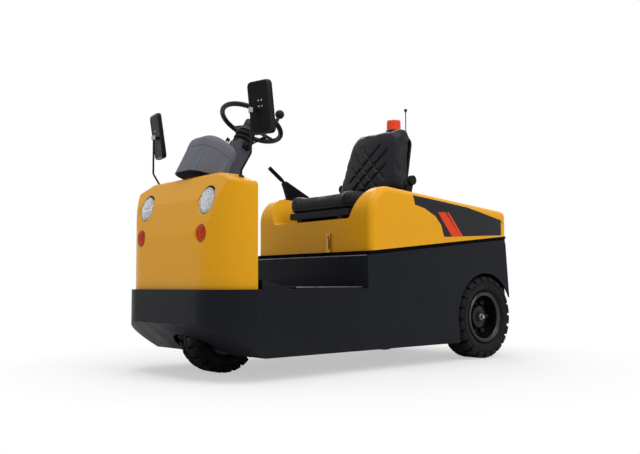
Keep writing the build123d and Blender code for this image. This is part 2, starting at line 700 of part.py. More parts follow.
def spinner_knob():
    """Round turning knob that stands on the rim."""
    stem = Cylinder(9, 26, align=(Align.CENTER, Align.CENTER, Align.MIN))
    ball = Pos(0, 0, 40) * Sphere(23)
    place = Rot(0, 0, SPINNER_TURN) * Pos(STEER_RING_R, 0, STEER_TUBE_R + SEAT_GAP)
    return column_plane(0) * (place * (stem + ball))


def mirrors():
    """Bent arms on the cowl's shoulders and the mirror housings at their ends."""
    slope = (COWL_TOP_Z - COWL_EDGE_Z) / (BODY_HALF_W - COWL_INSET - COWL_CROWN_HALF_W)
    foot_z = COWL_TOP_Z - (MIRROR_ARM_FOOT_Y - COWL_CROWN_HALF_W) * slope
    foot = (MIRROR_ARM_X, MIRROR_ARM_FOOT_Y, foot_z + MIRROR_ARM_R)
    bend = (MIRROR_ARM_X, MIRROR_ARM_FOOT_Y, foot_z + 6 * MIRROR_ARM_R)
    elbow = (MIRROR_ARM_X, MIRROR_ARM_Y, MIRROR_ARM_BEND_Z)
    top = Vector(MIRROR_ARM_X, MIRROR_ARM_Y, MIRROR_ARM_TOP_Z)
    arm = tube_path([foot, bend, elbow, top], 3 * MIRROR_ARM_R, MIRROR_ARM_R)
    flange = Rot(-degrees(atan(slope)), 0, 0) * Cylinder(2.5 * MIRROR_ARM_R, 3 * MIRROR_ARM_R)
    arm += Pos(MIRROR_ARM_X, MIRROR_ARM_FOOT_Y, foot_z) * flange - cowl_form(0)
    head = extrude(RectangleRounded(2 * MIRROR_HALF_W, 2 * MIRROR_HALF_H, MIRROR_CORNER_R), amount=MIRROR_T)
    head = fillet(head.faces().sort_by(Axis.Z)[-1].edges(), 0.4 * MIRROR_T)
    face = Plane((MIRROR_ARM_X - MIRROR_STANDOFF, MIRROR_Y, MIRROR_Z), x_dir=(0, 1, 0), z_dir=(1, 0, 0))
    head = face * (Rot(0, MIRROR_TURN, 0) * (Rot(MIRROR_TILT, 0, 0) * head))
    clamp = top - Vector(0, 0, 2 * MIRROR_ARM_R)
    boss = rod(clamp, clamp - Vector(MIRROR_STANDOFF - MIRROR_T / 2, 0, 0), 1.6 * MIRROR_ARM_R)
    return both_sides(arm + (boss - head)), both_sides(head)


def roof_z(x):
    """Height of the hood's roof line, which climbs from the tail to the brow."""
    return HOOD_TAIL_Z + (x - HOOD_REAR_X) * (HOOD_CREST_Z - HOOD_TAIL_Z) / (HOOD_FRONT_X - HOOD_REAR_X)


def hood_form(inset):
    """Solid of the battery hood without its recess, drawn in by an inset."""
    front = HOOD_FRONT_X - inset
    rear = HOOD_REAR_X + inset
    foot = HOOD_GAP if inset == 0 else HOOD_GAP - 60
    half_w = BODY_HALF_W - inset
    points = [
        (front, shoulder_z(front) + foot), (rear, shoulder_z(rear) + foot),
        (rear, roof_z(rear) - inset), (front, roof_z(front) - inset),
    ]
    body = side_shape(points, -half_w, half_w)
    brow = body.edges().filter_by(Axis.Y).group_by(Axis.Z)[-1]
    body = fillet(brow, HOOD_BROW_R - inset)
    flank = [e for e in body.edges() if abs(e.center().Y) > half_w - 1]
    soft = [e for e in flank if e.center().Z > shoulder_z(e.center().X) + foot + 1]
    soft += body.edges().filter_by(Axis.Y).filter_by_position(Axis.X, rear - 1, rear + 1).group_by(Axis.Z)[-1]
    return fillet(soft, HOOD_CORNER_R - inset)


def seat_recess(inset):
    """Tapered hollow that the seat stands in, open to the front, drawn out by an inset."""
    slope = (RECESS_CREST_HALF_W - RECESS_FOOT_HALF_W) / (HOOD_CREST_Z - RECESS_Z)
    foot, top = RECESS_Z - inset, HOOD_CREST_Z + 60
    low_w = RECESS_FOOT_HALF_W + inset
    high_w = low_w + (top - foot) * slope
    trough = front_shape([(-low_w, foot), (low_w, foot), (high_w, top), (-high_w, top)],
                         RECESS_BACK_X - RECESS_BACK_RAKE - 60, HOOD_FRONT_X + 60)
    back = RECESS_BACK_X - inset
    rake = RECESS_BACK_RAKE * (top - foot) / (HOOD_CREST_Z - RECESS_Z)
    cut = side_shape([(back, foot), (back - rake, top), (HOOD_FRONT_X + 60, top), (HOOD_FRONT_X + 60, foot)],
                     -BODY_HALF_W - 60, BODY_HALF_W + 60)
    trough = trough & cut
    floor = [e for e in trough.edges() if abs(e.center().Z - foot) < 1 and e.center().X < HOOD_FRONT_X + 59]
    return fillet(floor, 30)


def hood():
    """Moulded lid over the battery: hollow, with the seat's recess pressed into its front half."""
    outer = hood_form(0) - seat_recess(0)
    inner = hood_form(HOOD_WALL) - seat_recess(HOOD_WALL)
    return outer - inner


def hood_hinges():
    """Knuckles on the hood's rear face, and the ears and pins on the rear wall that carry them."""
    z = shoulder_z(HOOD_REAR_X) + HOOD_GAP + HINGE_LIFT
    half = HINGE_KNUCKLE_L / 2

    def bar(reach, radius):
        return rod((HINGE_X, HINGE_Y - reach, z), (HINGE_X, HINGE_Y + reach, z), radius)
    leaf = block((HINGE_X, HOOD_REAR_X), (HINGE_Y - half, HINGE_Y + half), (z, z + 3 * HINGE_KNUCKLE_R))
    knuckle = bar(half, HINGE_KNUCKLE_R) + leaf - bar(2 * half, HINGE_PIN_R + RUNNING_GAP)
    low = SHOULDER_REAR_Z - HINGE_EAR_H
    high = SHOULDER_REAR_Z - HINGE_PIN_R
    ear_r = HINGE_KNUCKLE_R - 2
    ear_points = [
        (tail_x(low), low), (tail_x(high), high), (HINGE_X + ear_r, z), (HINGE_X - ear_r, z),
        (tail_x(low) - 2 * ear_r, low + 3 * ear_r),
    ]
    carrier = bar(half + HINGE_EAR_T + 2, HINGE_PIN_R)
    for y in (HINGE_Y - half - HINGE_EAR_T - SEAT_GAP, HINGE_Y + half + SEAT_GAP):
        carrier += side_shape(ear_points, y, y + HINGE_EAR_T)
        carrier += rod((HINGE_X, y, z), (HINGE_X, y + HINGE_EAR_T, z), ear_r)
    return both_sides(knuckle), both_sides(carrier)


def hood_latch():
    """Toggle latch on the hood's front face."""
    high = shoulder_z(HOOD_FRONT_X) + HOOD_GAP + LATCH_H
    face = (HOOD_FRONT_X, HOOD_FRONT_X + LATCH_T)
    plate = block(face, (LATCH_Y - LATCH_W / 2, LATCH_Y + LATCH_W / 2), (high - LATCH_H, high))
    slot = block((HOOD_FRONT_X + 3, HOOD_FRONT_X + 2 * LATCH_T), (LATCH_Y - 3, LATCH_Y + LATCH_W / 2 - 6),
                 (high - LATCH_H + 18, high - 12))
    lever = block((HOOD_FRONT_X + 3, HOOD_FRONT_X + LATCH_T + 5), (LATCH_Y - 1, LATCH_Y + 8),
                  (high - LATCH_H + 20, high - 30))
    return plate - slot + lever


def seat():
    """Slide rails and pan, bottom cushion, back pad and back shell with its recliner knob."""
    rail = block((SEAT_BACK_X + 30, SEAT_FRONT_X - 30), (SEAT_RAIL_Y - 18, SEAT_RAIL_Y + 18),
                 (RECESS_Z, RECESS_Z + 26))
    pan = block((SEAT_BACK_X - 10, SEAT_FRONT_X - 25), (-SEAT_HALF_W + 30, SEAT_HALF_W - 30),
                (RECESS_Z + 26, SEAT_FOOT_Z - SEAT_GAP))
    base = both_sides(rail) + pan
    roll = 34.0
    cushion = block((SEAT_BACK_X, SEAT_FRONT_X), (-SEAT_HALF_W, SEAT_HALF_W), (SEAT_FOOT_Z, SEAT_TOP_Z))
    cushion = fillet(cushion.edges().filter_by(Axis.Z), 60)
    cushion = fillet(cushion.faces().sort_by(Axis.Z)[-1].edges(), roll)
    lean = Plane((BACK_FOOT_X, 0, BACK_FOOT_Z), x_dir=(0, 1, 0),
                 z_dir=(cos(radians(BACK_LEAN)), 0, sin(radians(BACK_LEAN))))

    def slab(low, high, foot_w, top_w, front, thick):
        outline = Polyline((-foot_w, low), (foot_w, low), (top_w, high), (-top_w, high), close=True)
        face = fillet(make_face(outline).vertices(), 70)
        return Pos(0, 0, front - thick) * extrude(face, amount=thick)
    low = SEAT_TOP_Z - BACK_FOOT_Z + 12
    pad = slab(low, BACK_H, BACK_FOOT_HALF_W, BACK_TOP_HALF_W, 0, BACK_PAD_T)
    pad = fillet(pad.faces().sort_by(Axis.Z)[-1].edges(), 30)
    shell = slab(low, BACK_H - BACK_SHELL_INSET, BACK_FOOT_HALF_W - BACK_SHELL_INSET,
                 BACK_TOP_HALF_W - BACK_SHELL_INSET, -BACK_PAD_T - SEAT_GAP, BACK_SHELL_T)
    shell = lean * fillet(shell.faces().sort_by(Axis.Z)[0].edges(), 0.7 * BACK_SHELL_T)
    stay = block((SEAT_BACK_X - 60, SEAT_BACK_X - 12), (150, 190), (RECESS_Z + 26, SEAT_TOP_Z + 60))
    stay = both_sides(stay) + block((SEAT_BACK_X - 60, SEAT_BACK_X - 9), (-190, 190),
                                    (RECESS_Z + 26, RECESS_Z + 50))
    base = base + (stay - shell - lean * pad)
    hinge_x, hinge_z = BACK_FOOT_X - 92, BACK_FOOT_Z + 135
    arm_y = SEAT_HALF_W + SEAT_GAP
    foot_x = SEAT_BACK_X + 40
    foot_z = SEAT_FOOT_Z - 2 * RECLINER_T
    plate = side_shape([(foot_x - RECLINER_R, foot_z), (foot_x + RECLINER_R, foot_z),
                        (hinge_x + 0.8 * RECLINER_R, hinge_z), (hinge_x - 0.8 * RECLINER_R, hinge_z)],
                       arm_y, arm_y + RECLINER_T)
    plate += rod((hinge_x, arm_y, hinge_z), (hinge_x, arm_y + 3 * RECLINER_T, hinge_z), RECLINER_R)
    foot = block((foot_x - RECLINER_R, foot_x + RECLINER_R), (SEAT_HALF_W - 30, arm_y + RECLINER_T),
                 (foot_z - 2 * RECLINER_T, foot_z + RECLINER_T))
    return base, cushion, lean * pad, shell, both_sides(plate + foot)


def beacon():
    """Post on the hood with a domed lamp on top, and the whip aerial beside it."""
    roof = roof_z(MAST_X)

    def standing(y, radius, top, flange):
        bar = rod((MAST_X, y, roof - 20), (MAST_X, y, top), radius)
        bar += rod((MAST_X, y, roof - 20), (MAST_X, y, roof + 8), flange)
        under = side_shape([(MAST_X - 100, roof_z(MAST_X - 100)), (MAST_X + 100, roof_z(MAST_X + 100)),
                            (MAST_X + 100, roof - 100), (MAST_X - 100, roof - 100)], y - 90, y + 90)
        return bar - under
    post = standing(BEACON_Y, MAST_R, BEACON_FOOT_Z - 12, 34)
    post += rod((MAST_X, BEACON_Y, BEACON_FOOT_Z - 14), (MAST_X, BEACON_Y, BEACON_FOOT_Z), BEACON_R + 4)
    lens = rod((MAST_X, BEACON_Y, BEACON_FOOT_Z), (MAST_X, BEACON_Y, BEACON_FOOT_Z + BEACON_H), BEACON_R)
    lens = fillet(lens.faces().sort_by(Axis.Z)[-1].edges(), 9)
    whip = standing(AERIAL_Y, AERIAL_R, AERIAL_TOP_Z - 10, 16)
    cup = 3.6 * AERIAL_R
    funnel = Polyline((0, -2 * cup), (AERIAL_R, -2 * cup), (cup, -2), (cup, 0), (0, 0), close=True)
    tip = revolve(Plane.XZ * make_face(funnel), axis=Axis.Z)
    whip += Pos(MAST_X, AERIAL_Y, AERIAL_TOP_Z) * tip
    return post, lens, whip


def brake_lever():
    """Hand brake on the right arm of the hood: a flat gaiter, a pressed body and a round grip."""
    tip, knee = [Vector(x, LEVER_Y, z) for x, z in (LEVER_TIP, LEVER_KNEE)]
    run = (tip - knee).normalized()
    heel_z = roof_z(LEVER_HEEL_X)
    points = [
        (knee.X + 16, knee.Z - 5), (knee.X - 9, knee.Z + 9), (LEVER_HEEL_X, heel_z + 46),
        (LEVER_HEEL_X - 6, heel_z - 12), (knee.X - 32, heel_z - 12), (knee.X - 9, heel_z + 55),
        (knee.X + 2, heel_z + 84),
    ]
    body = side_shape(points, LEVER_Y - LEVER_BODY_T / 2, LEVER_Y + LEVER_BODY_T / 2)
    lever = fillet(body.faces().sort_by(Axis.Y)[0].edges() + body.faces().sort_by(Axis.Y)[-1].edges(), 4)
    lever += rod(knee - run * 20, tip, LEVER_R) + rod(knee + run * 25, tip, 1.35 * LEVER_R)
    for tier in (1, 2):
        back, front = LEVER_HEEL_X - 30 + 12 * tier, knee.X - 2 - 12 * tier
        points = [(back, roof_z(back) - GAITER_TIER_H), (front, roof_z(front) - GAITER_TIER_H),
                  (front, roof_z(front) + tier * GAITER_TIER_H), (back, roof_z(back) + tier * GAITER_TIER_H)]
        half_w = GAITER_HALF_W + 2 - 2 * tier
        ring = side_shape(points, LEVER_Y - half_w, LEVER_Y + half_w)
        lever += fillet(ring.faces().sort_by(Axis.Z)[-1].edges(), 3)
    return lever - hood_form(0)


def pedals():
    """Accelerator and brake pedals on stalks from the toe board."""
    pads = []
    boards = toe_boards()
    span = INNER_HALF_W - COWL_INSET - CONSOLE_HALF_W
    for share, half_share, height in ((0.2, 0.1, 120.0), (0.53, 0.15, 100.0)):
        y = -CONSOLE_HALF_W - share * span
        half_w = half_share * span
        z = DECK_Z + TOE_RISE
        pad = Pos(TOE_END_X - 70, y, z + 40) * (Rot(0, -50, 0) * Box(height, 2 * half_w, 10))
        stalk = rod((TOE_END_X - 66, y, z + 36), (TOE_END_X - 20, y, z - 12), 8)
        pads.append(pad + (stalk - boards))
    return Compound(pads)


def tow_coupling():
    """Cast jaw on the rear wall: back block, two plates and the bores for the pin."""
    face = tail_x(JAW_Z + JAW_GAP)
    back = tail_x(REAR_TAIL_Z)
    tip_r = 0.75 * JAW_HALF_W
    pin_x = face - JAW_REACH + tip_r
    low, high = JAW_Z - JAW_GAP / 2, JAW_Z + JAW_GAP / 2
    root = Polyline((back - 20, -JAW_HALF_W), (back - 20, JAW_HALF_W), (face + 40, JAW_HALF_W),
                    (face + 40, -JAW_HALF_W), close=True)
    taper = Polyline((pin_x, -tip_r), (pin_x, tip_r), (back - 20, JAW_HALF_W),
                     (back - 20, -JAW_HALF_W), close=True)
    plan = make_face(root) + make_face(taper) + Pos(pin_x, 0) * Circle(tip_r)
    body = upright(plan, low - JAW_PLATE_T, high + JAW_PLATE_T)
    body -= block((pin_x - JAW_REACH, back - 12), (-JAW_REACH, JAW_REACH), (low, high))
    high_x = tail_x(SHOULDER_REAR_Z)
    wall = [(tail_x(0), 0), (high_x, SHOULDER_REAR_Z), (WALL_X, SHOULDER_REAR_Z), (WALL_X, 0)]
    body -= side_shape(wall, -JAW_REACH, JAW_REACH)
    body -= rod((pin_x, 0, 0), (pin_x, 0, SHOULDER_REAR_Z), TOW_PIN_R + RUNNING_GAP)
    grip_r = 8.0
    grip_z = high + JAW_PLATE_T + TOW_PIN_LIFT + 2 * grip_r
    pin = rod((pin_x, 0, high + 4), (pin_x, 0, grip_z), TOW_PIN_R)
    grip = rod((pin_x, -3 * TOW_PIN_R, grip_z), (pin_x, 3 * TOW_PIN_R, grip_z), grip_r)
    return body, pin + grip


def rear_lamps():
    """Rear lamp clusters on the rear wall."""
    z_low, z_high = SHOULDER_REAR_Z - 1.5 * REAR_LAMP_H, SHOULDER_REAR_Z - 0.5 * REAR_LAMP_H
    points = [(tail_x(z_low), z_low), (tail_x(z_high), z_high), (tail_x(z_high) - REAR_LAMP_T, z_high),
              (tail_x(z_low) - REAR_LAMP_T, z_low)]
    outer = INNER_HALF_W - 3 * PLATE_T
    lamp = side_shape(points, outer - REAR_LAMP_W, outer)
    return both_sides(fillet(lamp.faces().sort_by(Axis.X)[0].edges(), 0.25 * REAR_LAMP_T))


battery_wall, bulkhead, battery_tray, battery = battery_box()
lamp_cans, headlamp_lenses, signal_lenses = lamps()
mirror_arms, mirror_heads = mirrors()
hinge_knuckles, hinge_carriers = hood_hinges()
seat_base, seat_cushion, seat_back_pad, seat_back_shell, recliner_knobs = seat()
beacon_post, beacon_lens, aerial = beacon()
jaw, tow_pin = tow_coupling()
rear_tyre = tyre(REAR_TYRE_R, REAR_TYRE_W, REAR_RIM_R)
rear_rim = rim(REAR_TYRE_W, REAR_RIM_R, REAR_BORE_R + RUNNING_GAP, -6.0, -50.0, 40.0)
front_tyre = tyre(FRONT_TYRE_R, FRONT_TYRE_W, FRONT_RIM_R)
left_wheel = Pos(0, REAR_WHEEL_Y, REAR_TYRE_R)
right_wheel = Pos(0, -REAR_WHEEL_Y, REAR_TYRE_R) * Rot(0, 0, 180)
front_wheel = Pos(WHEELBASE, 0, FRONT_TYRE_R)

NODES = {
    "side_plate_left": side_plate(),
    "side_plate_right": mirror(side_plate(), about=Plane.XZ),
    "top_rails": top_rails(),
    "hood_seal": hood_seal(),
    "nose_plate": nose_plate(),
    "belly_plate": belly_plate(),
    "deck_plate": deck_plate(),
    "toe_boards": toe_boards(),
    "floor_mat": floor_mat(),
    "console": console(),
    "battery_wall": battery_wall,
    "bulkhead": bulkhead,
    "battery_tray": battery_tray,
    "battery": battery,
    "rear_wall": rear_wall(),
    "axle_hangers": axle_hangers(),
    "rear_axle": rear_axle(),
    "drive_motor": drive_motor(),
    "tow_jaw": jaw,
    "rear_lamps": rear_lamps(),
    "hinge_carriers": hinge_carriers,
    "cowl": cowl(),
    "dash_panel": dash_panel(),
    "lamp_cans": lamp_cans,
    "headlamp_lenses": headlamp_lenses,
    "signal_lenses": signal_lenses,
    "steering_column": steering_column(),
    "binnacle": binnacle(),
    "pedals": pedals(),
    "mirror_arms": mirror_arms,
    "mirror_heads": mirror_heads,
    "steering_wheel": steering_wheel(),
    "spinner_knob": spinner_knob(),
    "front_fork": front_fork(),
    "front_rim": front_wheel * front_rim(),
    "front_tyre": front_wheel * front_tyre,
    "rear_rim_left": left_wheel * rear_rim,
    "rear_tyre_left": left_wheel * rear_tyre,
    "rear_rim_right": right_wheel * rear_rim,
    "rear_tyre_right": right_wheel * rear_tyre,
    "hood": hood(),
    "hinge_knuckles": hinge_knuckles,
    "hood_latch": hood_latch(),
    "seat_base": seat_base,
    "seat_cushion": seat_cushion,
    "seat_back_pad": seat_back_pad,
    "seat_back_shell": seat_back_shell,
    "recliner_knob": recliner_knobs,
    "beacon_post": beacon_post,
    "beacon_lens": beacon_lens,
    "aerial": aerial,
    "brake_lever": brake_lever(),
    "tow_pin": tow_pin,
}

# The origin is on the ground under the middle of the vehicle's length
low_x = min(shape.bounding_box().min.X for shape in NODES.values())
high_x = max(shape.bounding_box().max.X for shape in NODES.values())
middle = Pos(-(low_x + high_x) / 2, 0, 0)

os.makedirs("parts", exist_ok=True)
for name, shape in NODES.items():
    export_step(middle * shape, f"parts/{name}.step")
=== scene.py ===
import json
import math

import bpy
from mathutils import Matrix, Vector


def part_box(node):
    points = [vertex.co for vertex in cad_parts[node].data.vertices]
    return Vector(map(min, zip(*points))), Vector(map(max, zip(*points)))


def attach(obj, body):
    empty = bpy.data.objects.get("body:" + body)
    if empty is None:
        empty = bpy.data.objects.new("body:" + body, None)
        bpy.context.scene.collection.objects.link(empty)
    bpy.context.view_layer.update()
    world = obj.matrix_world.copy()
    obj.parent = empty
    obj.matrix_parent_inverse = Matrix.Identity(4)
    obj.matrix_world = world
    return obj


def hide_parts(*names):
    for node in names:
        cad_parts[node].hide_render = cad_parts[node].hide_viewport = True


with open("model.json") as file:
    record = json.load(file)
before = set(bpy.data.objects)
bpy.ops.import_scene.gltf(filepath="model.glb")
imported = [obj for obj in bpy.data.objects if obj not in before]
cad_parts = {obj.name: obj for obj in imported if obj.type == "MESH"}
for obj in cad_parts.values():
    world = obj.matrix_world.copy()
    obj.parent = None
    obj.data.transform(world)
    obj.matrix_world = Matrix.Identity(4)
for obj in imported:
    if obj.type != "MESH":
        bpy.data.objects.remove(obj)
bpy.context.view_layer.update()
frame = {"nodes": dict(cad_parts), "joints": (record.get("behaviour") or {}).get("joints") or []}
nodes = frame["nodes"]

# Flank plates, bumper, ledge rails and walls. Folded and welded steel plate, sprayed with a charcoal satin
# enamel that is paler on its edges, partly rubbed and partly a painted highlight, and dusty near the ground.


def srgb(red, green, blue):
    """An 8-bit colour as the linear colour that a shader takes."""
    return tuple(((c / 255 + 0.055) / 1.055) ** 2.4 for c in (red, green, blue)) + (1.0,)


def noise(tree, scale, detail=3.0):
    """Soft noise over the piece's own place, from 0 to 1."""
    place = tree.nodes.new("ShaderNodeTexCoord").outputs["Object"]
    texture = tree.nodes.new("ShaderNodeTexNoise")
    texture.inputs["Scale"].default_value = scale
    texture.inputs["Detail"].default_value = detail
    tree.links.new(place, texture.inputs["Vector"])
    return texture.outputs["Fac"]


def spread(tree, value, low, high, to_low, to_high):
    """A value stretched from one range onto another, held at its ends."""
    span = tree.nodes.new("ShaderNodeMapRange")
    tree.links.new(value, span.inputs["Value"])
    for socket, number in (("From Min", low), ("From Max", high), ("To Min", to_low), ("To Max", to_high)):
        span.inputs[socket].default_value = number
    return span.outputs["Result"]


def coat(name, colour, drift, patch, gloss, grain, relief, **sockets):
    """A finish whose colour drifts in soft patches, with uneven gloss and a fine raised grain."""
    material = bpy.data.materials.new(name)
    material.use_nodes = True
    tree = material.node_tree
    shader = tree.nodes["Principled BSDF"]
    ramp = tree.nodes.new("ShaderNodeValToRGB")
    tree.links.new(spread(tree, noise(tree, patch, 5.0), 0.3, 0.7, 0.0, 1.0), ramp.inputs["Fac"])
    for stop, share in zip(ramp.color_ramp.elements, (1 - drift, 1 + drift)):
        stop.color = [min(1.0, c * share) for c in colour[:3]] + [1.0]
    tree.links.new(ramp.outputs["Color"], shader.inputs["Base Color"])
    tree.links.new(spread(tree, noise(tree, 5 * patch), 0.3, 0.7, *gloss), shader.inputs["Roughness"])
    bump = tree.nodes.new("ShaderNodeBump")
    bump.inputs["Strength"].default_value = relief
    bump.inputs["Distance"].default_value = 0.0004
    tree.links.new(noise(tree, grain, 2.0), bump.inputs["Height"])
    tree.links.new(bump.outputs["Normal"], shader.inputs["Normal"])
    for socket, value in sockets.items():
        shader.inputs[socket.replace("_", " ")].default_value = value
    return material


def overlay(material, mask, colour):
    """Lays a second colour over a finish where the mask is high."""
    tree = material.node_tree
    base = tree.nodes["Principled BSDF"].inputs["Base Color"]
    mix = tree.nodes.new("ShaderNodeMix")
    mix.data_type = "RGBA"
    tree.links.new(mask, mix.inputs[0])
    tree.links.new(base.links[0].from_socket, mix.inputs[6])
    mix.inputs[7].default_value = colour
    tree.links.new(mix.outputs[2], base)


def dusty(material, colour, top, amount):
    """Road dust that thins out from the ground to a height."""
    tree = material.node_tree
    split = tree.nodes.new("ShaderNodeSeparateXYZ")
    tree.links.new(tree.nodes.new("ShaderNodeTexCoord").outputs["Object"], split.inputs[0])
    height = spread(tree, split.outputs["Z"], 0.0, top, amount, 0.0)
    patches = tree.nodes.new("ShaderNodeMath")
    patches.operation = "MULTIPLY"
    tree.links.new(height, patches.inputs[0])
    tree.links.new(spread(tree, noise(tree, 14.0, 6.0), 0.35, 0.65, 0.25, 1.0), patches.inputs[1])
    overlay(material, patches.outputs[0], colour)


def edge_highlight_and_wear(material, colour, radius, amount):
    """Paler paint along the edges, partly where hands and boots rub it and partly a painted highlight where
    the edges catch the light.
    """
    tree = material.node_tree
    soft = tree.nodes.new("ShaderNodeBevel")
    soft.samples = 4
    soft.inputs["Radius"].default_value = radius
    apart = tree.nodes.new("ShaderNodeVectorMath")
    apart.operation = "DOT_PRODUCT"
    tree.links.new(soft.outputs[0], apart.inputs[0])
    tree.links.new(tree.nodes.new("ShaderNodeNewGeometry").outputs["Normal"], apart.inputs[1])
    edge = spread(tree, apart.outputs["Value"], 0.99, 0.75, 0.0, amount)
    broken = tree.nodes.new("ShaderNodeMath")
    broken.operation = "MULTIPLY"
    tree.links.new(edge, broken.inputs[0])
    tree.links.new(spread(tree, noise(tree, 30.0, 6.0), 0.4, 0.6, 0.2, 1.0), broken.inputs[1])
    overlay(material, broken.outputs[0], colour)


def paint(material, *names):
    """Gives CAD nodes a finish."""
    for name in names:
        for slot in nodes[name].material_slots:
            slot.material = material


charcoal = coat("charcoal_enamel", srgb(25, 27, 33), 0.10, 2.5, (0.34, 0.46), 900.0, 0.10,
                Specular_IOR_Level=0.06)
dusty(charcoal, srgb(84, 80, 74), 0.30, 0.07)
# Paler charcoal on the edges: partly rubbed paint, partly a painted highlight where the edges catch the
# light.
edge_highlight_and_wear(charcoal, srgb(70, 72, 78), 0.003, 0.45)
paint(charcoal, "side_plate_left", "side_plate_right", "nose_plate", "belly_plate", "top_rails",
      "battery_wall", "rear_wall")

# Deck, toe boards and floor mat. Pressed steel in a dark undercoat, and a moulded rubber mat
# with raised ribs that lies loose between the flanks.

RIB_PITCH = 0.0135
RIB_W = 0.0075
RIB_H = 0.004
RIB_SINK = 0.002
RIB_EDGE = 0.0016
RIB_INSET = 0.012
STRIP_W = 0.010
STRIP_INSET = 0.004
STRIP_PROUD = 0.0004
STRIP_SINK = 0.001
STRIP_EDGE = 0.0014


def start(name, operator, **options):
    """A new primitive, alone in the selection."""
    bpy.ops.object.select_all(action="DESELECT")
    operator(**options)
    bpy.context.object.name = name
    return bpy.context.object


def modify(piece, kind, **settings):
    """Adds a modifier to a piece and applies it."""
    bpy.context.view_layer.objects.active = piece
    modifier = piece.modifiers.new("shape", kind)
    for key, value in settings.items():
        setattr(modifier, key, value)
    bpy.ops.object.modifier_apply(modifier=modifier.name)


def slab(name, low, high, edge):
    """A block between two corners with rounded edges."""
    low, high = Vector(low), Vector(high)
    piece = start(name, bpy.ops.mesh.primitive_cube_add, size=1, location=(low + high) / 2, scale=high - low)
    bpy.ops.object.transform_apply(location=True, rotation=True, scale=True)
    modify(piece, "BEVEL", width=edge, segments=3, limit_method="ANGLE")
    return piece


def joined(pieces):
    """Several pieces made one, under the first one's name."""
    bpy.ops.object.select_all(action="DESELECT")
    for piece in pieces:
        piece.select_set(True)
    bpy.context.view_layer.objects.active = pieces[0]
    bpy.ops.object.transform_apply(location=True, rotation=True, scale=True)
    if len(pieces) > 1:
        bpy.ops.object.join()
    return pieces[0]


def repeated(piece, moves):
    """Copies of a piece, each moved by a matrix, joined into one in its place."""
    name, copies = piece.name, []
    for move in moves:
        twin = piece.copy()
        twin.data = piece.data.copy()
        bpy.context.collection.objects.link(twin)
        twin.matrix_world = move @ piece.matrix_world
        copies.append(twin)
    bpy.data.objects.remove(piece)
    whole = joined(copies)
    whole.name = name
    return whole


def settle(piece, material, body, smooth=35):
    """Puts a finished piece's place in its mesh, and gives it its finish and its body."""
    bpy.ops.object.select_all(action="DESELECT")
    piece.select_set(True)
    bpy.context.view_layer.objects.active = piece
    bpy.ops.object.transform_apply(location=True, rotation=True, scale=True)
    bpy.ops.object.mode_set(mode="EDIT")
    bpy.ops.mesh.select_all(action="SELECT")
    bpy.ops.mesh.normals_make_consistent(inside=False)
    bpy.ops.object.mode_set(mode="OBJECT")
    bpy.ops.object.shade_smooth_by_angle(angle=math.radians(smooth))
    piece.data.materials.clear()
    piece.data.materials.append(material)
    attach(piece, body)
    return piece


undercoat = coat("dark_undercoat", srgb(24, 24, 27), 0.12, 6.0, (0.45, 0.62), 600.0, 0.2,
                 Specular_IOR_Level=0.12)
dusty(undercoat, srgb(84, 80, 74), 0.5, 0.12)
paint(undercoat, "deck_plate", "toe_boards", "bulkhead", "battery_tray", "axle_hangers", "console",
      "front_fork", "hinge_carriers", "hinge_knuckles", "seat_base", "mirror_arms", "beacon_post", "pedals")
rubber = coat("moulded_rubber", srgb(24, 24, 25), 0.12, 9.0, (0.55, 0.75), 420.0, 0.25,
              Specular_IOR_Level=0.12)
# Near-black rubber, darker than the mat's: painted shade for the shadowed gap along the hood seal and in the
# headlamp dishes.
shade_black_rubber = coat("shade_black_rubber", srgb(7, 7, 8), 0.1, 12.0, (0.7, 0.85), 420.0, 0.15,
                   Specular_IOR_Level=0.02)
paint(rubber, "floor_mat")
paint(shade_black_rubber, "hood_seal")

mat_low, mat_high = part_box("floor_mat")
rib = slab("mat_ribs", (mat_low.x + RIB_INSET, mat_low.y + RIB_INSET, mat_high.z - RIB_SINK),
           (mat_low.x + RIB_INSET + RIB_W, mat_high.y - RIB_INSET, mat_high.z + RIB_H), RIB_EDGE)
rib_count = int((mat_high.x - mat_low.x - RIB_INSET - RIB_W) / RIB_PITCH)
ribs = repeated(rib, [Matrix.Translation((k * RIB_PITCH, 0, 0)) for k in range(rib_count)])
settle(ribs, rubber, "chassis")
strip_alloy = coat("edge_strip_alloy", srgb(104, 106, 110), 0.35, 30.0, (0.35, 0.5), 800.0, 0.2,
                   Metallic=1.0)
for side, edge_y in (("left", mat_high.y), ("right", mat_low.y + STRIP_W)):
    strip = slab("mat_edge_" + side, (mat_low.x + STRIP_INSET, edge_y - STRIP_W, mat_high.z - STRIP_SINK),
                 (mat_high.x - STRIP_INSET, edge_y - 0.001, mat_high.z + RIB_H + STRIP_PROUD), STRIP_EDGE)
    settle(strip, strip_alloy, "chassis")

# Highlight strip on the ledge. A pale grey strip along the battery wall's top edge, under the hood, is a
# painted highlight where the edge catches the light.

LEDGE_X, LEDGE_Z = 0.940, 0.564
LEDGE_HALF_W = 0.453
LIP_BACK, LIP_OUT = 0.008, 0.0012
LIP_DOWN, LIP_UP = 0.003, 0.002
LIP_EDGE = 0.0012


def joint_place(name):
    """Where a joint stands at rest."""
    return Vector(next(joint for joint in frame["joints"] if joint["name"] == name)["pos_m"])


rear_axle = joint_place("rear_wheel_left_spin").x


def ahead(x, y, z):
    """Metres ahead of the rear axle, left of the middle and above the floor, as a place."""
    return Vector((rear_axle + x, y, z))


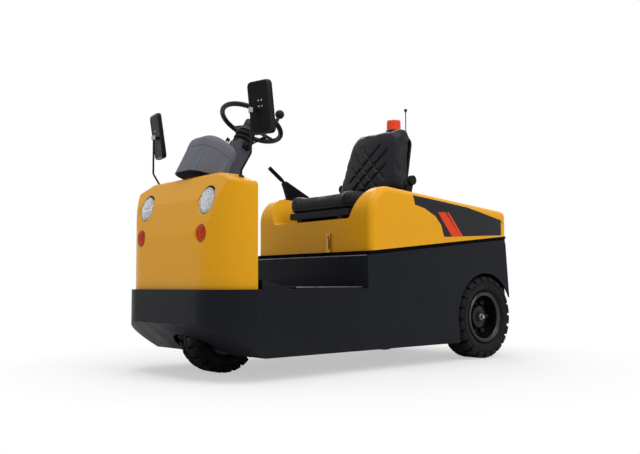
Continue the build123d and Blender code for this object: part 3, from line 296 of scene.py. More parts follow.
# Pale grey strip along the ledge's edge: painted highlight.
lip_highlight_paint = coat("painted_highlight_lip", srgb(122, 124, 130), 0.25, 18.0, (0.3, 0.45), 700.0, 0.1,
                  Specular_IOR_Level=0.3)
ledge_highlight = slab("ledge_highlight_strip", ahead(LEDGE_X - LIP_BACK, -LEDGE_HALF_W, LEDGE_Z - LIP_DOWN),
                ahead(LEDGE_X + LIP_OUT, LEDGE_HALF_W, LEDGE_Z + LIP_UP), LIP_EDGE)
settle(ledge_highlight, lip_highlight_paint, "chassis")

# Battery. A welded steel case of lead-acid cells in a dark acid-proof coat: moulded cell lids,
# fluted vent plugs and bolted lead straps. It is seen when the hood is up.

CELLS_ALONG, CELLS_ACROSS = 4, 6
CASE_WALL = 0.015
LID_GAP, LID_SINK, LID_H, LID_EDGE = 0.003, 0.004, 0.014, 0.005
PLUG = [(0, 10), (19, 10), (19, 18), (17, 20), (16, 27), (14, 29), (5, 29), (4, 27), (0, 27)]
STRAP_X, STRAP_W, STRAP_LAP = 0.022, 0.022, 0.012
STRAP_Z, STRAP_T, STRAP_EDGE = 0.012, 0.008, 0.002


def drawn(name, points):
    """A line through some points, left in edit mode and selected all over."""
    piece = start(name, bpy.ops.mesh.primitive_plane_add, size=0.001)
    bpy.ops.object.mode_set(mode="EDIT")
    bpy.ops.mesh.select_all(action="SELECT")
    bpy.ops.mesh.merge(type="CENTER")
    bpy.ops.transform.translate(value=points[0])
    for point, following in zip(points, points[1:]):
        bpy.ops.mesh.extrude_vertices_move(TRANSFORM_OT_translate={"value": following - point})
    bpy.ops.mesh.select_all(action="SELECT")
    return piece


def spun(piece, steps, angle):
    """Spins what is selected about Z, and closes the seam that is left."""
    bpy.ops.mesh.spin(steps=steps, angle=angle, center=(0, 0, 0), axis=(0, 0, 1))
    bpy.ops.mesh.select_all(action="SELECT")
    bpy.ops.mesh.remove_doubles(threshold=0.00002)
    bpy.ops.mesh.normals_make_consistent(inside=False)
    bpy.ops.object.mode_set(mode="OBJECT")
    return piece


def facing(axis):
    """The turn that points Z along an axis."""
    return Vector(axis).to_track_quat("Z", "Y").to_matrix().to_4x4()


def in_metres(profile, sign=1):
    """(Radius, height) pairs in millimetres as points."""
    return [Vector((radius / 1000, 0, sign * height / 1000)) for radius, height in profile]


def turned(name, profile, place=(0, 0, 0), axis=(0, 0, 1), steps=48):
    """A lathe piece: (radius, height) pairs in millimetres, spun about an axis through a place."""
    piece = spun(drawn(name, in_metres(profile)), steps, 2 * math.pi)
    piece.matrix_world = Matrix.Translation(place) @ facing(axis)
    return piece


case_coat = coat("acid_proof_coat", srgb(52, 55, 60), 0.15, 7.0, (0.4, 0.6), 500.0, 0.3)
lid_plastic = coat("cell_lid_plastic", srgb(70, 72, 76), 0.08, 10.0, (0.35, 0.5), 800.0, 0.15)
plug_plastic = coat("vent_plug_plastic", srgb(206, 160, 40), 0.08, 20.0, (0.3, 0.45), 900.0, 0.1)
lead = coat("dull_lead", srgb(120, 122, 126), 0.18, 20.0, (0.4, 0.6), 700.0, 0.3, Metallic=1.0)
paint(case_coat, "battery")
case_low, case_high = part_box("battery")
pitch_x = (case_high.x - case_low.x - 2 * CASE_WALL) / CELLS_ALONG
pitch_y = (case_high.y - case_low.y - 2 * CASE_WALL) / CELLS_ACROSS
first = Vector((case_low.x + CASE_WALL, case_low.y + CASE_WALL, case_high.z))
cells = [Matrix.Translation((i * pitch_x, j * pitch_y, 0))
         for i in range(CELLS_ALONG) for j in range(CELLS_ACROSS)]
lid = slab("cell_lids", first + Vector((LID_GAP, LID_GAP, -LID_SINK)),
           first + Vector((pitch_x - LID_GAP, pitch_y - LID_GAP, LID_H)), LID_EDGE)
settle(repeated(lid, cells), lid_plastic, "chassis")
plug = turned("vent_plugs", PLUG, first + Vector((pitch_x / 2, pitch_y / 2, 0)), steps=20)
settle(repeated(plug, cells), plug_plastic, "chassis")
strap = slab("cell_straps", first + Vector((STRAP_X, pitch_y / 2 - STRAP_LAP, STRAP_Z)),
             first + Vector((STRAP_X + STRAP_W, 1.5 * pitch_y + STRAP_LAP, STRAP_Z + STRAP_T)), STRAP_EDGE)
far_strap = pitch_x - 2 * STRAP_X - STRAP_W
links = [Matrix.Translation((i * pitch_x + side * far_strap, (2 * j + side) * pitch_y, 0))
         for i in range(CELLS_ALONG) for j in range(CELLS_ACROSS // 2) for side in (0, 1)
         if 2 * j + side + 1 < CELLS_ACROSS]
settle(repeated(strap, links), lead, "chassis")

# Drive axle and motor, slung from two hanger plates under the rear floor. Cast iron housing
# with machined ends, and a motor in a dark enamel.

cast = coat("cast_iron", srgb(58, 58, 60), 0.18, 12.0, (0.5, 0.7), 320.0, 0.55)
dusty(cast, srgb(100, 94, 86), 0.4, 0.25)
motor_enamel = coat("motor_enamel", srgb(60, 63, 68), 0.1, 8.0, (0.35, 0.5), 600.0, 0.2)
paint(cast, "rear_axle", "tow_jaw")
paint(motor_enamel, "drive_motor")

# Wheels. Pressed disc rims in black enamel with three rolled ridges at the flange, held by dark nuts
# round a hub with a bright axle nut. The tyres are solid rubber with deep lugs at both shoulders.

SIDES = (("left", 1), ("right", -1))
NUTS, NUT_CIRCLE, NUT_SINK = 6, 0.094, 0.006
FRONT_NUTS, FRONT_NUT_CIRCLE, FRONT_NUT_FACE = 5, 0.076, 0.004
AXLE_NUT, WHEEL_NUT, FRONT_NUT = (0.022, 0.015), (0.027, 0.020), (0.022, 0.014)
AXLE_NUT_FACE = 0.045
LUG_COUNT = 22
LUG_ANGLE = 0.76 * 2 * math.pi / LUG_COUNT
LUG_SKEW = math.radians(5)
REAR_TYRE = (232.5, 79.0, 143.0)
FRONT_TYRE = (200.0, 70.0, 112.0)
FLANGE_RIDGES = [(121.5, 58), (122.5, 63.5), (125, 66), (127.8, 65), (129.2, 62.5), (130.4, 65.4),
                 (133.4, 67.6), (136.3, 65.8), (137.4, 62.5), (138.5, 67), (141.3, 69.4), (143.9, 67.6),
                 (144.4, 62), (121.5, 58)]
HUB_COLLAR = [(18, 35), (31, 32), (32.5, 36), (31, 39.5), (26, 41), (24, 44), (18, 44), (18, 35)]
AXLE_WASHER = [(0, 38), (17, 38), (17, 44), (15.5, 45.5), (0, 45.5)]
WHEEL_STUD = [(0, 0), (8.5, 0), (8.5, 26), (7, 28), (0, 28)]


def about(centre, axis, count, offset=0.0):
    """Turns round an axis that share out a ring."""
    return [Matrix.Translation(centre) @ Matrix.Rotation(offset + 2 * math.pi * k / count, 4, axis)
            @ Matrix.Translation(-centre) for k in range(count)]


def hexagon(name, across, height, place, axis, round_off=0.0012):
    """A chamfered hexagon nut or bolt head."""
    piece = start(name, bpy.ops.mesh.primitive_cylinder_add, vertices=6, radius=across / math.sqrt(3),
                  depth=height)
    piece.matrix_world = Matrix.Translation(Vector(place) + Vector(axis) * height / 2) @ facing(axis)
    bpy.ops.object.transform_apply(location=True, rotation=True, scale=True)
    modify(piece, "BEVEL", width=round_off, segments=2, limit_method="ANGLE")
    return piece


def lugged(name, radius, half, rim_r):
    """A solid tyre about Z in millimetres: grooved walls, a centre rib and staggered lugs."""
    wall = [(rim_r - 7.7, half - 24.3), (rim_r + 4.3, half - 24.3), (rim_r + 9, half - 13),
            (rim_r + 18, half - 6), (rim_r + 31, half - 2), (radius - 42, half - 0.6),
            (radius - 39.5, half - 0.8), (radius - 38, half - 3.6), (radius - 35.5, half - 3.6),
            (radius - 34, half - 1.4), (radius - 28, half - 4), (radius - 19, half - 14),
            (radius - 17, half - 26), (radius - 17, 17), (radius - 15, 15), (radius - 1.5, 13), (radius, 11)]
    far_wall = [(r, -y) for r, y in reversed(wall)]
    pieces = [turned(name, wall + far_wall + wall[:1], steps=88)]
    section = [(radius - 22, 19), (radius - 2, 17), (radius, 20), (radius, half - 25),
               (radius - 1.5, half - 16), (radius - 7, half - 6.5), (radius - 20, half),
               (radius - 33, half - 0.8), (radius - 33, half - 9), (radius - 22, half - 19)]
    for sign, offset in ((1, 0.0), (-1, math.pi / LUG_COUNT)):
        lug = drawn(name + "_lug", in_metres(section, sign))
        bpy.ops.mesh.edge_face_add()
        spun(lug, 4, LUG_ANGLE)
        modify(lug, "BEVEL", width=0.0025, segments=2, limit_method="ANGLE", angle_limit=math.radians(40))
        for vertex in lug.data.vertices:
            skew = LUG_SKEW * (1 - 1000 * abs(vertex.co.z) / half)
            vertex.co = Matrix.Rotation(skew, 3, "Z") @ vertex.co
        pieces.append(repeated(lug, about(Vector((0, 0, 0)), "Z", LUG_COUNT, offset)))
    return joined(pieces)


tyre_rubber = coat("tyre_rubber", srgb(21, 21, 22), 0.15, 14.0, (0.5, 0.7), 260.0, 0.35,
                   Specular_IOR_Level=0.09)
dusty(tyre_rubber, srgb(78, 74, 68), 0.3, 0.08)
rim_enamel = coat("rim_enamel", srgb(13, 13, 15), 0.1, 10.0, (0.26, 0.38), 800.0, 0.1,
                  Specular_IOR_Level=0.2)
gloss_black = coat("gloss_black_enamel", srgb(11, 11, 13), 0.08, 12.0, (0.12, 0.2), 900.0, 0.04,
                   Specular_IOR_Level=0.6)
zinc = coat("zinc_plate", srgb(150, 152, 155), 0.1, 25.0, (0.3, 0.45), 900.0, 0.15, Metallic=1.0)
black_steel = coat("blackened_steel", srgb(62, 62, 65), 0.15, 25.0, (0.3, 0.45), 900.0, 0.15, Metallic=1.0)
paint(rim_enamel, "rear_rim_left", "rear_rim_right", "front_rim")
for side, sign in SIDES:
    hub = joint_place("rear_wheel_%s_spin" % side)
    out = Vector((0, sign, 0))
    body = "rear_wheel_" + side
    tyre = lugged("lugged_tyre_" + side, *REAR_TYRE)
    tyre.matrix_world = Matrix.Translation(hub) @ facing(out)
    settle(tyre, tyre_rubber, body)
    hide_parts("rear_tyre_" + side)
    settle(turned("rim_ridges_" + side, FLANGE_RIDGES, hub, out, 72), gloss_black, body, 75)
    settle(turned("hub_collar_" + side, HUB_COLLAR, hub, out, 48), rim_enamel, body)
    settle(turned("axle_washer_" + side, AXLE_WASHER, hub, out, 32), zinc, body)
    nut = hexagon("axle_nut_" + side, *AXLE_NUT, hub + AXLE_NUT_FACE * out, out, 0.002)
    settle(nut, zinc, body)
    seat = hub + Vector((NUT_CIRCLE, -sign * NUT_SINK, 0))
    nut = hexagon("wheel_nuts_" + side, *WHEEL_NUT, seat, out, 0.002)
    settle(repeated(nut, about(hub, "Y", NUTS)), black_steel, body)
    stud = turned("wheel_studs_" + side, WHEEL_STUD, seat, out, 16)
    settle(repeated(stud, about(hub, "Y", NUTS)), black_steel, body)

axle = joint_place("front_wheel_spin")
tyre = lugged("lugged_tyre_front", *FRONT_TYRE)
tyre.matrix_world = Matrix.Translation(axle) @ facing((0, 1, 0))
settle(tyre, tyre_rubber, "front_wheel")
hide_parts("front_tyre")
for side, sign in SIDES:
    seat = axle + Vector((FRONT_NUT_CIRCLE, sign * FRONT_NUT_FACE, 0))
    nut = hexagon("front_nuts_" + side, *FRONT_NUT, seat, (0, sign, 0), 0.0016)
    settle(repeated(nut, about(axle, "Y", FRONT_NUTS)), black_steel, "front_wheel")

# Pedals. Steel pads on stalks from the toe board, the throttle long and narrow and the brake wide.
# Each has a ribbed rubber shoe pressed over it.

PEDAL_X, PEDAL_Z, PEDAL_LEAN = 1.496, 0.482, math.radians(-50)
PEDALS = (("throttle", -0.2054, 0.0287, 0.060), ("brake", -0.3001, 0.0431, 0.050))
SHOE_LAP, SHOE_LOW, SHOE_HIGH = 0.002, 0.001, 0.009
TREAD_INSET, TREAD_W, TREAD_PITCH = 0.004, 0.005, 0.011
TREAD_LOW, TREAD_HIGH = 0.008, 0.012
for name, y, half_w, half_h in PEDALS:
    lean = Matrix.Translation(ahead(PEDAL_X, y, PEDAL_Z)) @ Matrix.Rotation(PEDAL_LEAN, 4, "Y")
    shoe = slab("pedal_shoe_" + name, (-half_h - SHOE_LAP, -half_w - SHOE_LAP, SHOE_LOW),
                (half_h + SHOE_LAP, half_w + SHOE_LAP, SHOE_HIGH), 0.0025)
    shoe.matrix_world = lean
    settle(shoe, rubber, "chassis")
    foot = TREAD_INSET - half_h
    tread = slab("pedal_ribs_" + name, (foot, TREAD_INSET - half_w, TREAD_LOW),
                 (foot + TREAD_W, half_w - TREAD_INSET, TREAD_HIGH), 0.0012)
    count = int((2 * half_h - 2 * TREAD_INSET) / TREAD_PITCH)
    tread = repeated(tread, [lean @ Matrix.Translation((k * TREAD_PITCH, 0, 0)) for k in range(count)])
    settle(tread, rubber, "chassis")

# Nose cowl and the panel behind it. The cowl is one steel pressing in warm yellow enamel, the
# panel grained grey plastic with a storage lid each side of the column.

LID_SPAN = (0.20, 0.40)
LID_RISE = (0.62, 0.80)
LID_PROUD, LID_SEAT, LID_ROUND = 0.008, 0.002, 0.004
LID_KNOB = [(0, 0), (9, 0), (9, 3), (13, 5), (14, 10), (12, 13), (0, 14)]
KNOB_Y, KNOB_Z, KNOB_SEAT = 0.30, 0.775, 0.007
yellow = coat("yellow_enamel", srgb(225, 159, 17), 0.03, 1.6, (0.24, 0.34), 1100.0, 0.05,
              Specular_IOR_Level=0.15)
# Paler yellow along the cowl's and hood's edges: a painted highlight where the edges catch the light.
edge_highlight_and_wear(yellow, srgb(236, 186, 70), 0.002, 0.3)
paint(yellow, "cowl", "hood")


def grained(name, colour, cell, depth, gloss):
    """Moulded plastic with a pebbled grain."""
    material = coat(name, colour, 0.05, 8.0, gloss, cell, 0.1, Specular_IOR_Level=0.1)
    tree = material.node_tree
    pebbles = tree.nodes.new("ShaderNodeTexVoronoi")
    pebbles.inputs["Scale"].default_value = cell
    tree.links.new(tree.nodes.new("ShaderNodeTexCoord").outputs["Object"], pebbles.inputs["Vector"])
    bump = next(node for node in tree.nodes if node.type == "BUMP")
    bump.inputs["Strength"].default_value = depth
    tree.links.new(pebbles.outputs["Distance"], bump.inputs["Height"])
    return material


grey_plastic = grained("grained_grey_plastic", srgb(98, 99, 108), 520.0, 0.35, (0.45, 0.6))
black_plastic = grained("grained_black_plastic", srgb(11, 11, 13), 520.0, 0.3, (0.4, 0.55))
dark_grey_plastic = grained("grained_dark_grey_plastic", srgb(70, 71, 78), 520.0, 0.35, (0.45, 0.6))
paint(grey_plastic, "dash_panel", "binnacle")
paint(dark_grey_plastic, "steering_column")
panel_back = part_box("dash_panel")[0].x
for side, sign in SIDES:
    low_y, high_y = sorted(sign * y for y in LID_SPAN)
    lid = slab("storage_lid_" + side, (panel_back - LID_PROUD, low_y, LID_RISE[0]),
               (panel_back + LID_SEAT, high_y, LID_RISE[1]), LID_ROUND)
    settle(lid, black_plastic, "chassis")
    knob_at = (panel_back - KNOB_SEAT, sign * KNOB_Y, KNOB_Z)
    knob = turned("lid_knob_" + side, LID_KNOB, knob_at, (-1, 0, 0), 28)
    settle(knob, zinc, "chassis")

# Headlamps and turn signals. Each headlamp has a dull reflector behind a domed, fluted glass that is clipped
# over its can in the cowl's dish; each signal is a ringed amber-red lens in a smaller dish. A near-black
# ring, set off-centre up and to the machine's left in each headlamp dish, is painted shadow cast by the
# dish's lip.

LAMP_Y = 0.266
LAMP_FACE = ahead(1.7539, 0, 0.797)
LAMP_LEAN = Vector((math.cos(math.radians(12)), 0, math.sin(math.radians(12))))
LAMP_UP = Vector((-LAMP_LEAN.z, 0, LAMP_LEAN.x))
LAMP_SINK = 0.055
# Shift of the near-black ring up and to the left, so that it shows thicker there as painted shadow under the
# dish's lip.
SHADOW_RING_SHIFT = 0.004 * LAMP_UP + Vector((0, 0.003, 0))
SIGNAL_FACE = ahead(1.785, 0, 0.649)
SIGNAL_SINK = 0.033
GLASS_R = 60.0
FLUTE_PITCH = 0.0095
FLUTE_DEPTH = 0.0016
LENS_R = 36.4


def clear(name, colour, drift, roughness, transmission):
    """Moulded glass or lens plastic, faintly uneven."""
    material = coat(name, colour, drift, 90.0, (roughness, roughness + 0.06), 300.0, 0.05,
                    Specular_IOR_Level=0.35)
    shader = material.node_tree.nodes["Principled BSDF"]
    shader.inputs["Transmission Weight"].default_value = transmission
    shader.inputs["IOR"].default_value = 1.46
    return material


chrome = coat("reflector_chrome", srgb(198, 200, 203), 0.3, 60.0, (0.12, 0.25), 600.0, 0.1, Metallic=1.0)
lamp_glass = clear("lamp_glass", srgb(246, 248, 250), 0.05, 0.04, 0.85)
signal_lens = coat("signal_lens", srgb(188, 50, 12), 0.35, 90.0, (0.2, 0.26), 300.0, 0.05,
                   Specular_IOR_Level=0.14)
paint(black_steel, "lamp_cans")
dome = [(r, 53.4 - 3.6 * (r / GLASS_R) ** 2) for r in range(0, 58, 3)]
GLASS = [(0, 50.6), (30, 50.2), (GLASS_R - 2, 48.6), (GLASS_R, 48.6), (GLASS_R, 49.6)] + dome[::-1]
BOWL = [(0, 38.2), (55, 38.2), (55.2, 48.2), (54, 48.2), (46, 43), (34, 40.6), (16, 39.4),
        (11, 39.4), (11, 44.5), (8, 46.5), (0, 47)]
SHADOW_RING = [(56, 46), (63, 46), (64, 47.2), (63, 48.3), (57, 48.3), (56, 47.2), (56, 46)]
LENS = [(0, 16.4), (33, 16.4), (33, 25.2), (LENS_R, 25.2), (LENS_R, 27)]
for step in range(5):
    ring_r, ring_z = 35 - 7 * step, 27.6 + 0.3 * step
    LENS += [(ring_r, ring_z), (ring_r - 3, ring_z + 0.8), (ring_r - 5, ring_z - 1.2)]
LENS += [(0, 28.6)]
for side, sign in SIDES:
    foot = LAMP_FACE + Vector((0, sign * LAMP_Y, 0)) - LAMP_LEAN * LAMP_SINK
    settle(turned("lamp_bowl_" + side, BOWL, foot, LAMP_LEAN, 56), chrome, "chassis")
    glass = turned("lamp_glass_" + side, GLASS, foot, LAMP_LEAN, 120)
    for vertex in glass.data.vertices:
        if vertex.co.z > 0.0485 + FLUTE_DEPTH:
            vertex.co.z -= FLUTE_DEPTH * (0.5 + 0.5 * math.cos(2 * math.pi * vertex.co.x / FLUTE_PITCH))
    settle(glass, lamp_glass, "chassis")
    # Near-black ring in the dish: painted shadow of the dish's lip.
    shadow_ring = turned("lamp_shadow_ring_" + side, SHADOW_RING, foot + SHADOW_RING_SHIFT, LAMP_LEAN, 64)
    settle(shadow_ring, shade_black_rubber, "chassis")
    face = SIGNAL_FACE + Vector((-SIGNAL_SINK, sign * LAMP_Y, 0))
    signal = turned("signal_lens_" + side, LENS, face, (1, 0, 0), 48)
    settle(signal, signal_lens, "chassis", 20)
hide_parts("headlamp_lenses")
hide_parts("signal_lenses")

# Mirrors. Black moulded heads with a rolled rim on bent steel arms. A rounded pane is let into the
# driver's side, and a bright clamp and four screws hold the back to the arm.

PANE_HALF, PANE_CORNER, PANE_T = (0.057, 0.112), 0.019, 0.0014
PANE_EDGE, PANE_BEVEL, PANE_LIFT = 0.003, 0.0006, 0.0004
RIM_HALF, RIM_CORNER, RIM_W, RIM_T = (0.0625, 0.1175), 0.023, 0.009, 0.010
RIM_ROUND, RIM_SINK = 0.0035, 0.003
HEAD_T, HEAD_YAW, HEAD_TILT = 0.022, math.radians(12), math.radians(8.5)
MIRROR_FACE = ahead(1.577, 0.451, 1.206)
SCREWS = [(x, y) for x in (-0.004, 0.014) for y in (0.004, 0.030)]
SCREW = [(0, -1), (4.4, -1), (4.4, 1.2), (3.4, 2.6), (0, 3.2)]
CLAMP = [(5.1, -11), (11, -11), (12, -10), (12, 10), (11, 11), (5.1, 11), (5.1, -11)]
CLAMP_X, CLAMP_Y, CLAMP_Z = 1.627, 0.430, 1.190
mirror_axes = Matrix(((0, 0, 1), (1, 0, 0), (0, 1, 0))).to_4x4()
head_turn = Matrix.Rotation(HEAD_YAW, 4, "Y") @ Matrix.Rotation(HEAD_TILT, 4, "X")
mirror_place = Matrix.Translation(MIRROR_FACE) @ mirror_axes @ head_turn
paint(black_plastic, "mirror_heads")
silver = coat("mirror_silver", srgb(205, 210, 214), 0.02, 6.0, (0.02, 0.05), 500.0, 0.02, Metallic=1.0)
rolled_black = coat("rolled_black_moulding", srgb(12, 12, 14), 0.08, 12.0, (0.22, 0.32), 900.0, 0.08,
                    Specular_IOR_Level=0.2)


def rounded_plate(name, half, corner):
    """A flat plate with rounded corners, left in edit mode and selected all over."""
    plate = start(name, bpy.ops.mesh.primitive_plane_add, size=2)
    plate.scale = (*half, 1)
    bpy.ops.object.transform_apply(location=True, rotation=True, scale=True)
    bpy.ops.object.mode_set(mode="EDIT")
    bpy.ops.mesh.select_all(action="SELECT")
    bpy.ops.mesh.bevel(offset=corner, segments=8, affect="VERTICES")
    bpy.ops.mesh.select_all(action="SELECT")
    return plate


for side, sign in SIDES:
    placed = Matrix.Scale(sign, 4, (0, 1, 0)) @ mirror_place
    pane = rounded_plate("mirror_pane_" + side, PANE_HALF, PANE_CORNER)
    bpy.ops.mesh.extrude_region_move(TRANSFORM_OT_translate={"value": (0, 0, -PANE_T)})
    bpy.ops.mesh.inset(thickness=PANE_EDGE, depth=PANE_BEVEL)
    bpy.ops.object.mode_set(mode="OBJECT")
    pane.data.transform(placed @ Matrix.Translation((0, 0, PANE_LIFT)))
    settle(pane, silver, "chassis")
    rim = rounded_plate("mirror_rim_" + side, RIM_HALF, RIM_CORNER)
    bpy.ops.mesh.inset(thickness=RIM_W)
    bpy.ops.mesh.delete(type="FACE")
    bpy.ops.object.mode_set(mode="OBJECT")
    modify(rim, "SOLIDIFY", thickness=RIM_T, offset=0.0)
    modify(rim, "BEVEL", width=RIM_ROUND, segments=3, limit_method="ANGLE")
    rim.data.transform(placed @ Matrix.Translation((0, 0, HEAD_T - RIM_SINK)))
    settle(rim, rolled_black, "chassis")
    screw = turned("mirror_screws_" + side, SCREW, steps=16)
    screw = repeated(screw, [Matrix.Translation((x, y, HEAD_T)) for x, y in SCREWS])
    screw.data.transform(placed)
    settle(screw, zinc, "chassis")
    clamp = turned("mirror_clamp_" + side, CLAMP, ahead(CLAMP_X, sign * CLAMP_Y, CLAMP_Z), (0, 0, 1), 28)
    settle(clamp, zinc, "chassis")

# Steering column and instruments. The leaning column carries a ribbed boot, a switch housing
# with a signal stalk, and a grey binnacle whose top holds the dial, key switch and stop button.

HUB = ahead(1.309, 0, 1.243)
COLUMN_LEAN = math.radians(28)
column = Vector((-math.sin(COLUMN_LEAN), 0, math.cos(COLUMN_LEAN)))
forward = Vector((math.cos(COLUMN_LEAN), 0, math.sin(COLUMN_LEAN)))
column_axes = Matrix((forward, (0, 1, 0), column)).transposed().to_4x4()


def on_column(along, front, side):
    """A place measured along the column from its hub, ahead of it and to the left."""
    return HUB + column * along + forward * front + Vector((0, side, 0))


dial_face = coat("dial_face", srgb(24, 25, 28), 0.04, 30.0, (0.3, 0.4), 900.0, 0.05)
dial_marks = coat("dial_marks", srgb(220, 222, 220), 0.03, 30.0, (0.4, 0.5), 900.0, 0.05)
stop_red = coat("stop_button_red", srgb(196, 38, 30), 0.05, 20.0, (0.25, 0.35), 700.0, 0.08)


def copied(name, node):
    """A free copy of a CAD node with its loose triangles merged."""
    piece = nodes[node].copy()
    piece.data = nodes[node].data.copy()
    piece.parent = None
    for key in list(piece.keys()):
        del piece[key]
    piece.name = name
    bpy.context.collection.objects.link(piece)
    bpy.ops.object.select_all(action="DESELECT")
    piece.select_set(True)
    bpy.context.view_layer.objects.active = piece
    bpy.ops.object.mode_set(mode="EDIT")
    bpy.ops.mesh.select_all(action="SELECT")
    bpy.ops.mesh.remove_doubles(threshold=0.0001)
    bpy.ops.object.mode_set(mode="OBJECT")
    return piece


FOOT_ALONG, FOOT_DROP, LID_SEAM = -0.397, 0.045, -0.296
FOOT_BACK, FOOT_SPAN = 0.045, 0.181
LID_LIFT = 0.002
BELLOWS = [(12, -134), (49, -134), (50.5, -130), (49, -124), (40, -121), (40, -117), (50, -114),
           (51.5, -108), (50, -101), (40, -98), (40, -93), (51, -90), (53, -83), (51, -75), (38, -70),
           (36, -44), (33, -42), (12, -42), (12, -134)]
STALK = [(0, -12), (7, -12), (7, 0), (4.2, 4), (3.8, 84), (6.5, 90), (8.5, 98), (9, 128), (7, 133), (0, 134)]
STALK_FRONT, STALK_SIDE, STALK_RISE = -0.004, 0.060, 0.25
SWITCH_ALONG = -0.150
SWITCH_BOX = (-0.024, 0.020, -0.018), (0.018, 0.062, 0.016)
TICK_BOX = (0.0235, -0.0008, 0.0022), (0.0305, 0.0008, 0.0030)
NEEDLE_BOX = (-0.006, -0.0011, 0.0034), (0.024, 0.0011, 0.0046)
KEY_BOX = (-0.0105, -0.0014, 0.009), (0.0105, 0.0014, 0.032)
PANEL_TOP = -0.222
BEZEL = [(33, -1), (40, -1), (40.5, 2), (38.5, 6), (35, 6.5), (33, 5), (33, -1)]
DIAL = [(0, -1), (33.4, -1), (33.4, 2), (31, 2.4), (0, 2.4)]
TICKS, TICK_FIRST, TICK_STEP, NEEDLE_TURN = 11, 130, 28, 215
COLLAR = [(0, -1), (20, -1), (20, 4), (18, 6), (12, 6), (12, 9), (0, 9)]
BUTTON = [(0, 6), (9, 6), (9, 14), (19, 17), (20, 21), (17, 26), (8, 28.5), (0, 29)]
KEY_BARREL = [(0, -1), (15, -1), (15, 3), (13, 5), (10, 5), (10, 9), (8.5, 10.5), (0, 10.5)]
GAUGE_FRONT, SWITCH_FRONT, SWITCH_Y = 0.128, 0.118, 0.078
cover = copied("binnacle_cover", "binnacle")
for vertex in cover.data.vertices:
    arm = vertex.co - HUB
    if arm.dot(column) < FOOT_ALONG + 0.004:
        vertex.co -= column * FOOT_DROP * (arm.dot(forward) - FOOT_BACK) / FOOT_SPAN
settle(cover, grey_plastic, "chassis")
hatch = copied("binnacle_lid", "binnacle")
bpy.ops.object.mode_set(mode="EDIT")
bpy.ops.mesh.select_all(action="SELECT")
bpy.ops.mesh.bisect(plane_co=on_column(LID_SEAM, 0, 0), plane_no=column, use_fill=True, clear_inner=True)
bpy.ops.object.mode_set(mode="OBJECT")
modify(hatch, "DISPLACE", strength=LID_LIFT, mid_level=0.0)
settle(hatch, grey_plastic, "chassis")
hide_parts("binnacle")
settle(turned("column_bellows", BELLOWS, HUB, column, 48), rubber, "chassis")
switch_boot = slab("switch_housing", *SWITCH_BOX, 0.006)
switch_boot.matrix_world = Matrix.Translation(on_column(SWITCH_ALONG, 0, 0)) @ column_axes
settle(switch_boot, black_plastic, "chassis")
stalk_run = (Vector((0, 1, 0)) + STALK_RISE * column).normalized()
stalk = turned("signal_stalk", STALK, on_column(SWITCH_ALONG, STALK_FRONT, STALK_SIDE), stalk_run, 20)
settle(stalk, black_plastic, "chassis")
gauge_at = on_column(PANEL_TOP, GAUGE_FRONT, 0.0)
gauge_place = Matrix.Translation(gauge_at) @ column_axes
settle(turned("dial_bezel", BEZEL, gauge_at, column, 56), black_plastic, "chassis")
settle(turned("dial", DIAL, gauge_at, column, 48), dial_face, "chassis")
mark = slab("dial_ticks", *TICK_BOX, 0.0002)
ticks = repeated(mark, [gauge_place @ Matrix.Rotation(math.radians(TICK_FIRST + TICK_STEP * k), 4, "Z")
                        for k in range(TICKS)])
settle(ticks, dial_marks, "chassis")
needle = slab("dial_needle", *NEEDLE_BOX, 0.0004)
needle.matrix_world = gauge_place @ Matrix.Rotation(math.radians(NEEDLE_TURN), 4, "Z")
settle(needle, stop_red, "chassis")
stop_at = on_column(PANEL_TOP, SWITCH_FRONT, -SWITCH_Y)
settle(turned("stop_collar", COLLAR, stop_at, column, 40), plug_plastic, "chassis")
settle(turned("stop_button", BUTTON, stop_at, column, 40), stop_red, "chassis")
key_at = on_column(PANEL_TOP, SWITCH_FRONT, SWITCH_Y)
settle(turned("key_switch", KEY_BARREL, key_at, column, 32), zinc, "chassis")
key = slab("key_blade", *KEY_BOX, 0.0012)
key.matrix_world = Matrix.Translation(key_at) @ column_axes
settle(key, black_plastic, "chassis")

# Steering wheel. A moulded black rim with finger grips underneath, three flat spokes and a hub with
# a horn cap, pressed on the shaft; a spinner knob stands on the rim.

RING_R, RING_TUBE = 160.0, 13.0
GRIPS, GRIP_DEPTH = 54, 0.0016
WHEEL_HUB = [(0, -125), (10, -125), (10, -39.8), (34, -39.8), (34, 1), (32, 4.5), (27, 6), (26, 8), (22, 10),
             (0, 11.5)]
SPOKE_IN, SPOKE_OUT, SPOKE_HALF_W, SPOKE_HALF_T = 0.022, 0.153, 0.015, 0.006
SPOKE_TAPER, SPOKE_DISH = 0.35, 0.020
wheel_plastic = coat("wheel_plastic", srgb(15, 15, 17), 0.08, 20.0, (0.32, 0.45), 900.0, 0.15,
                     Specular_IOR_Level=0.16)
round_tube = [k * math.pi / 10 for k in range(21)]
ring = [(RING_R + RING_TUBE * math.cos(a), RING_TUBE * math.sin(a)) for a in round_tube]
rim = turned("wheel_moulding", ring, steps=216)
for vertex in rim.data.vertices:
    if vertex.co.z < 0.002:
        reach = math.atan2(vertex.co.y, vertex.co.x)
        vertex.co.z += GRIP_DEPTH * (0.5 + 0.5 * math.cos(GRIPS * reach))
boss = turned("wheel_hub", WHEEL_HUB, steps=48)
spoke = slab("wheel_spokes", (SPOKE_IN, -SPOKE_HALF_W, -SPOKE_HALF_T),
             (SPOKE_OUT, SPOKE_HALF_W, SPOKE_HALF_T), 0.005)
for vertex in spoke.data.vertices:
    share = (vertex.co.x - SPOKE_IN) / (SPOKE_OUT - SPOKE_IN)
    vertex.co.y *= 1 - SPOKE_TAPER * share
    vertex.co.z -= SPOKE_DISH * (1 - share)
spokes = repeated(spoke, [Matrix.Rotation(math.radians(turn), 4, "Z") for turn in (-90, 90, 180)])
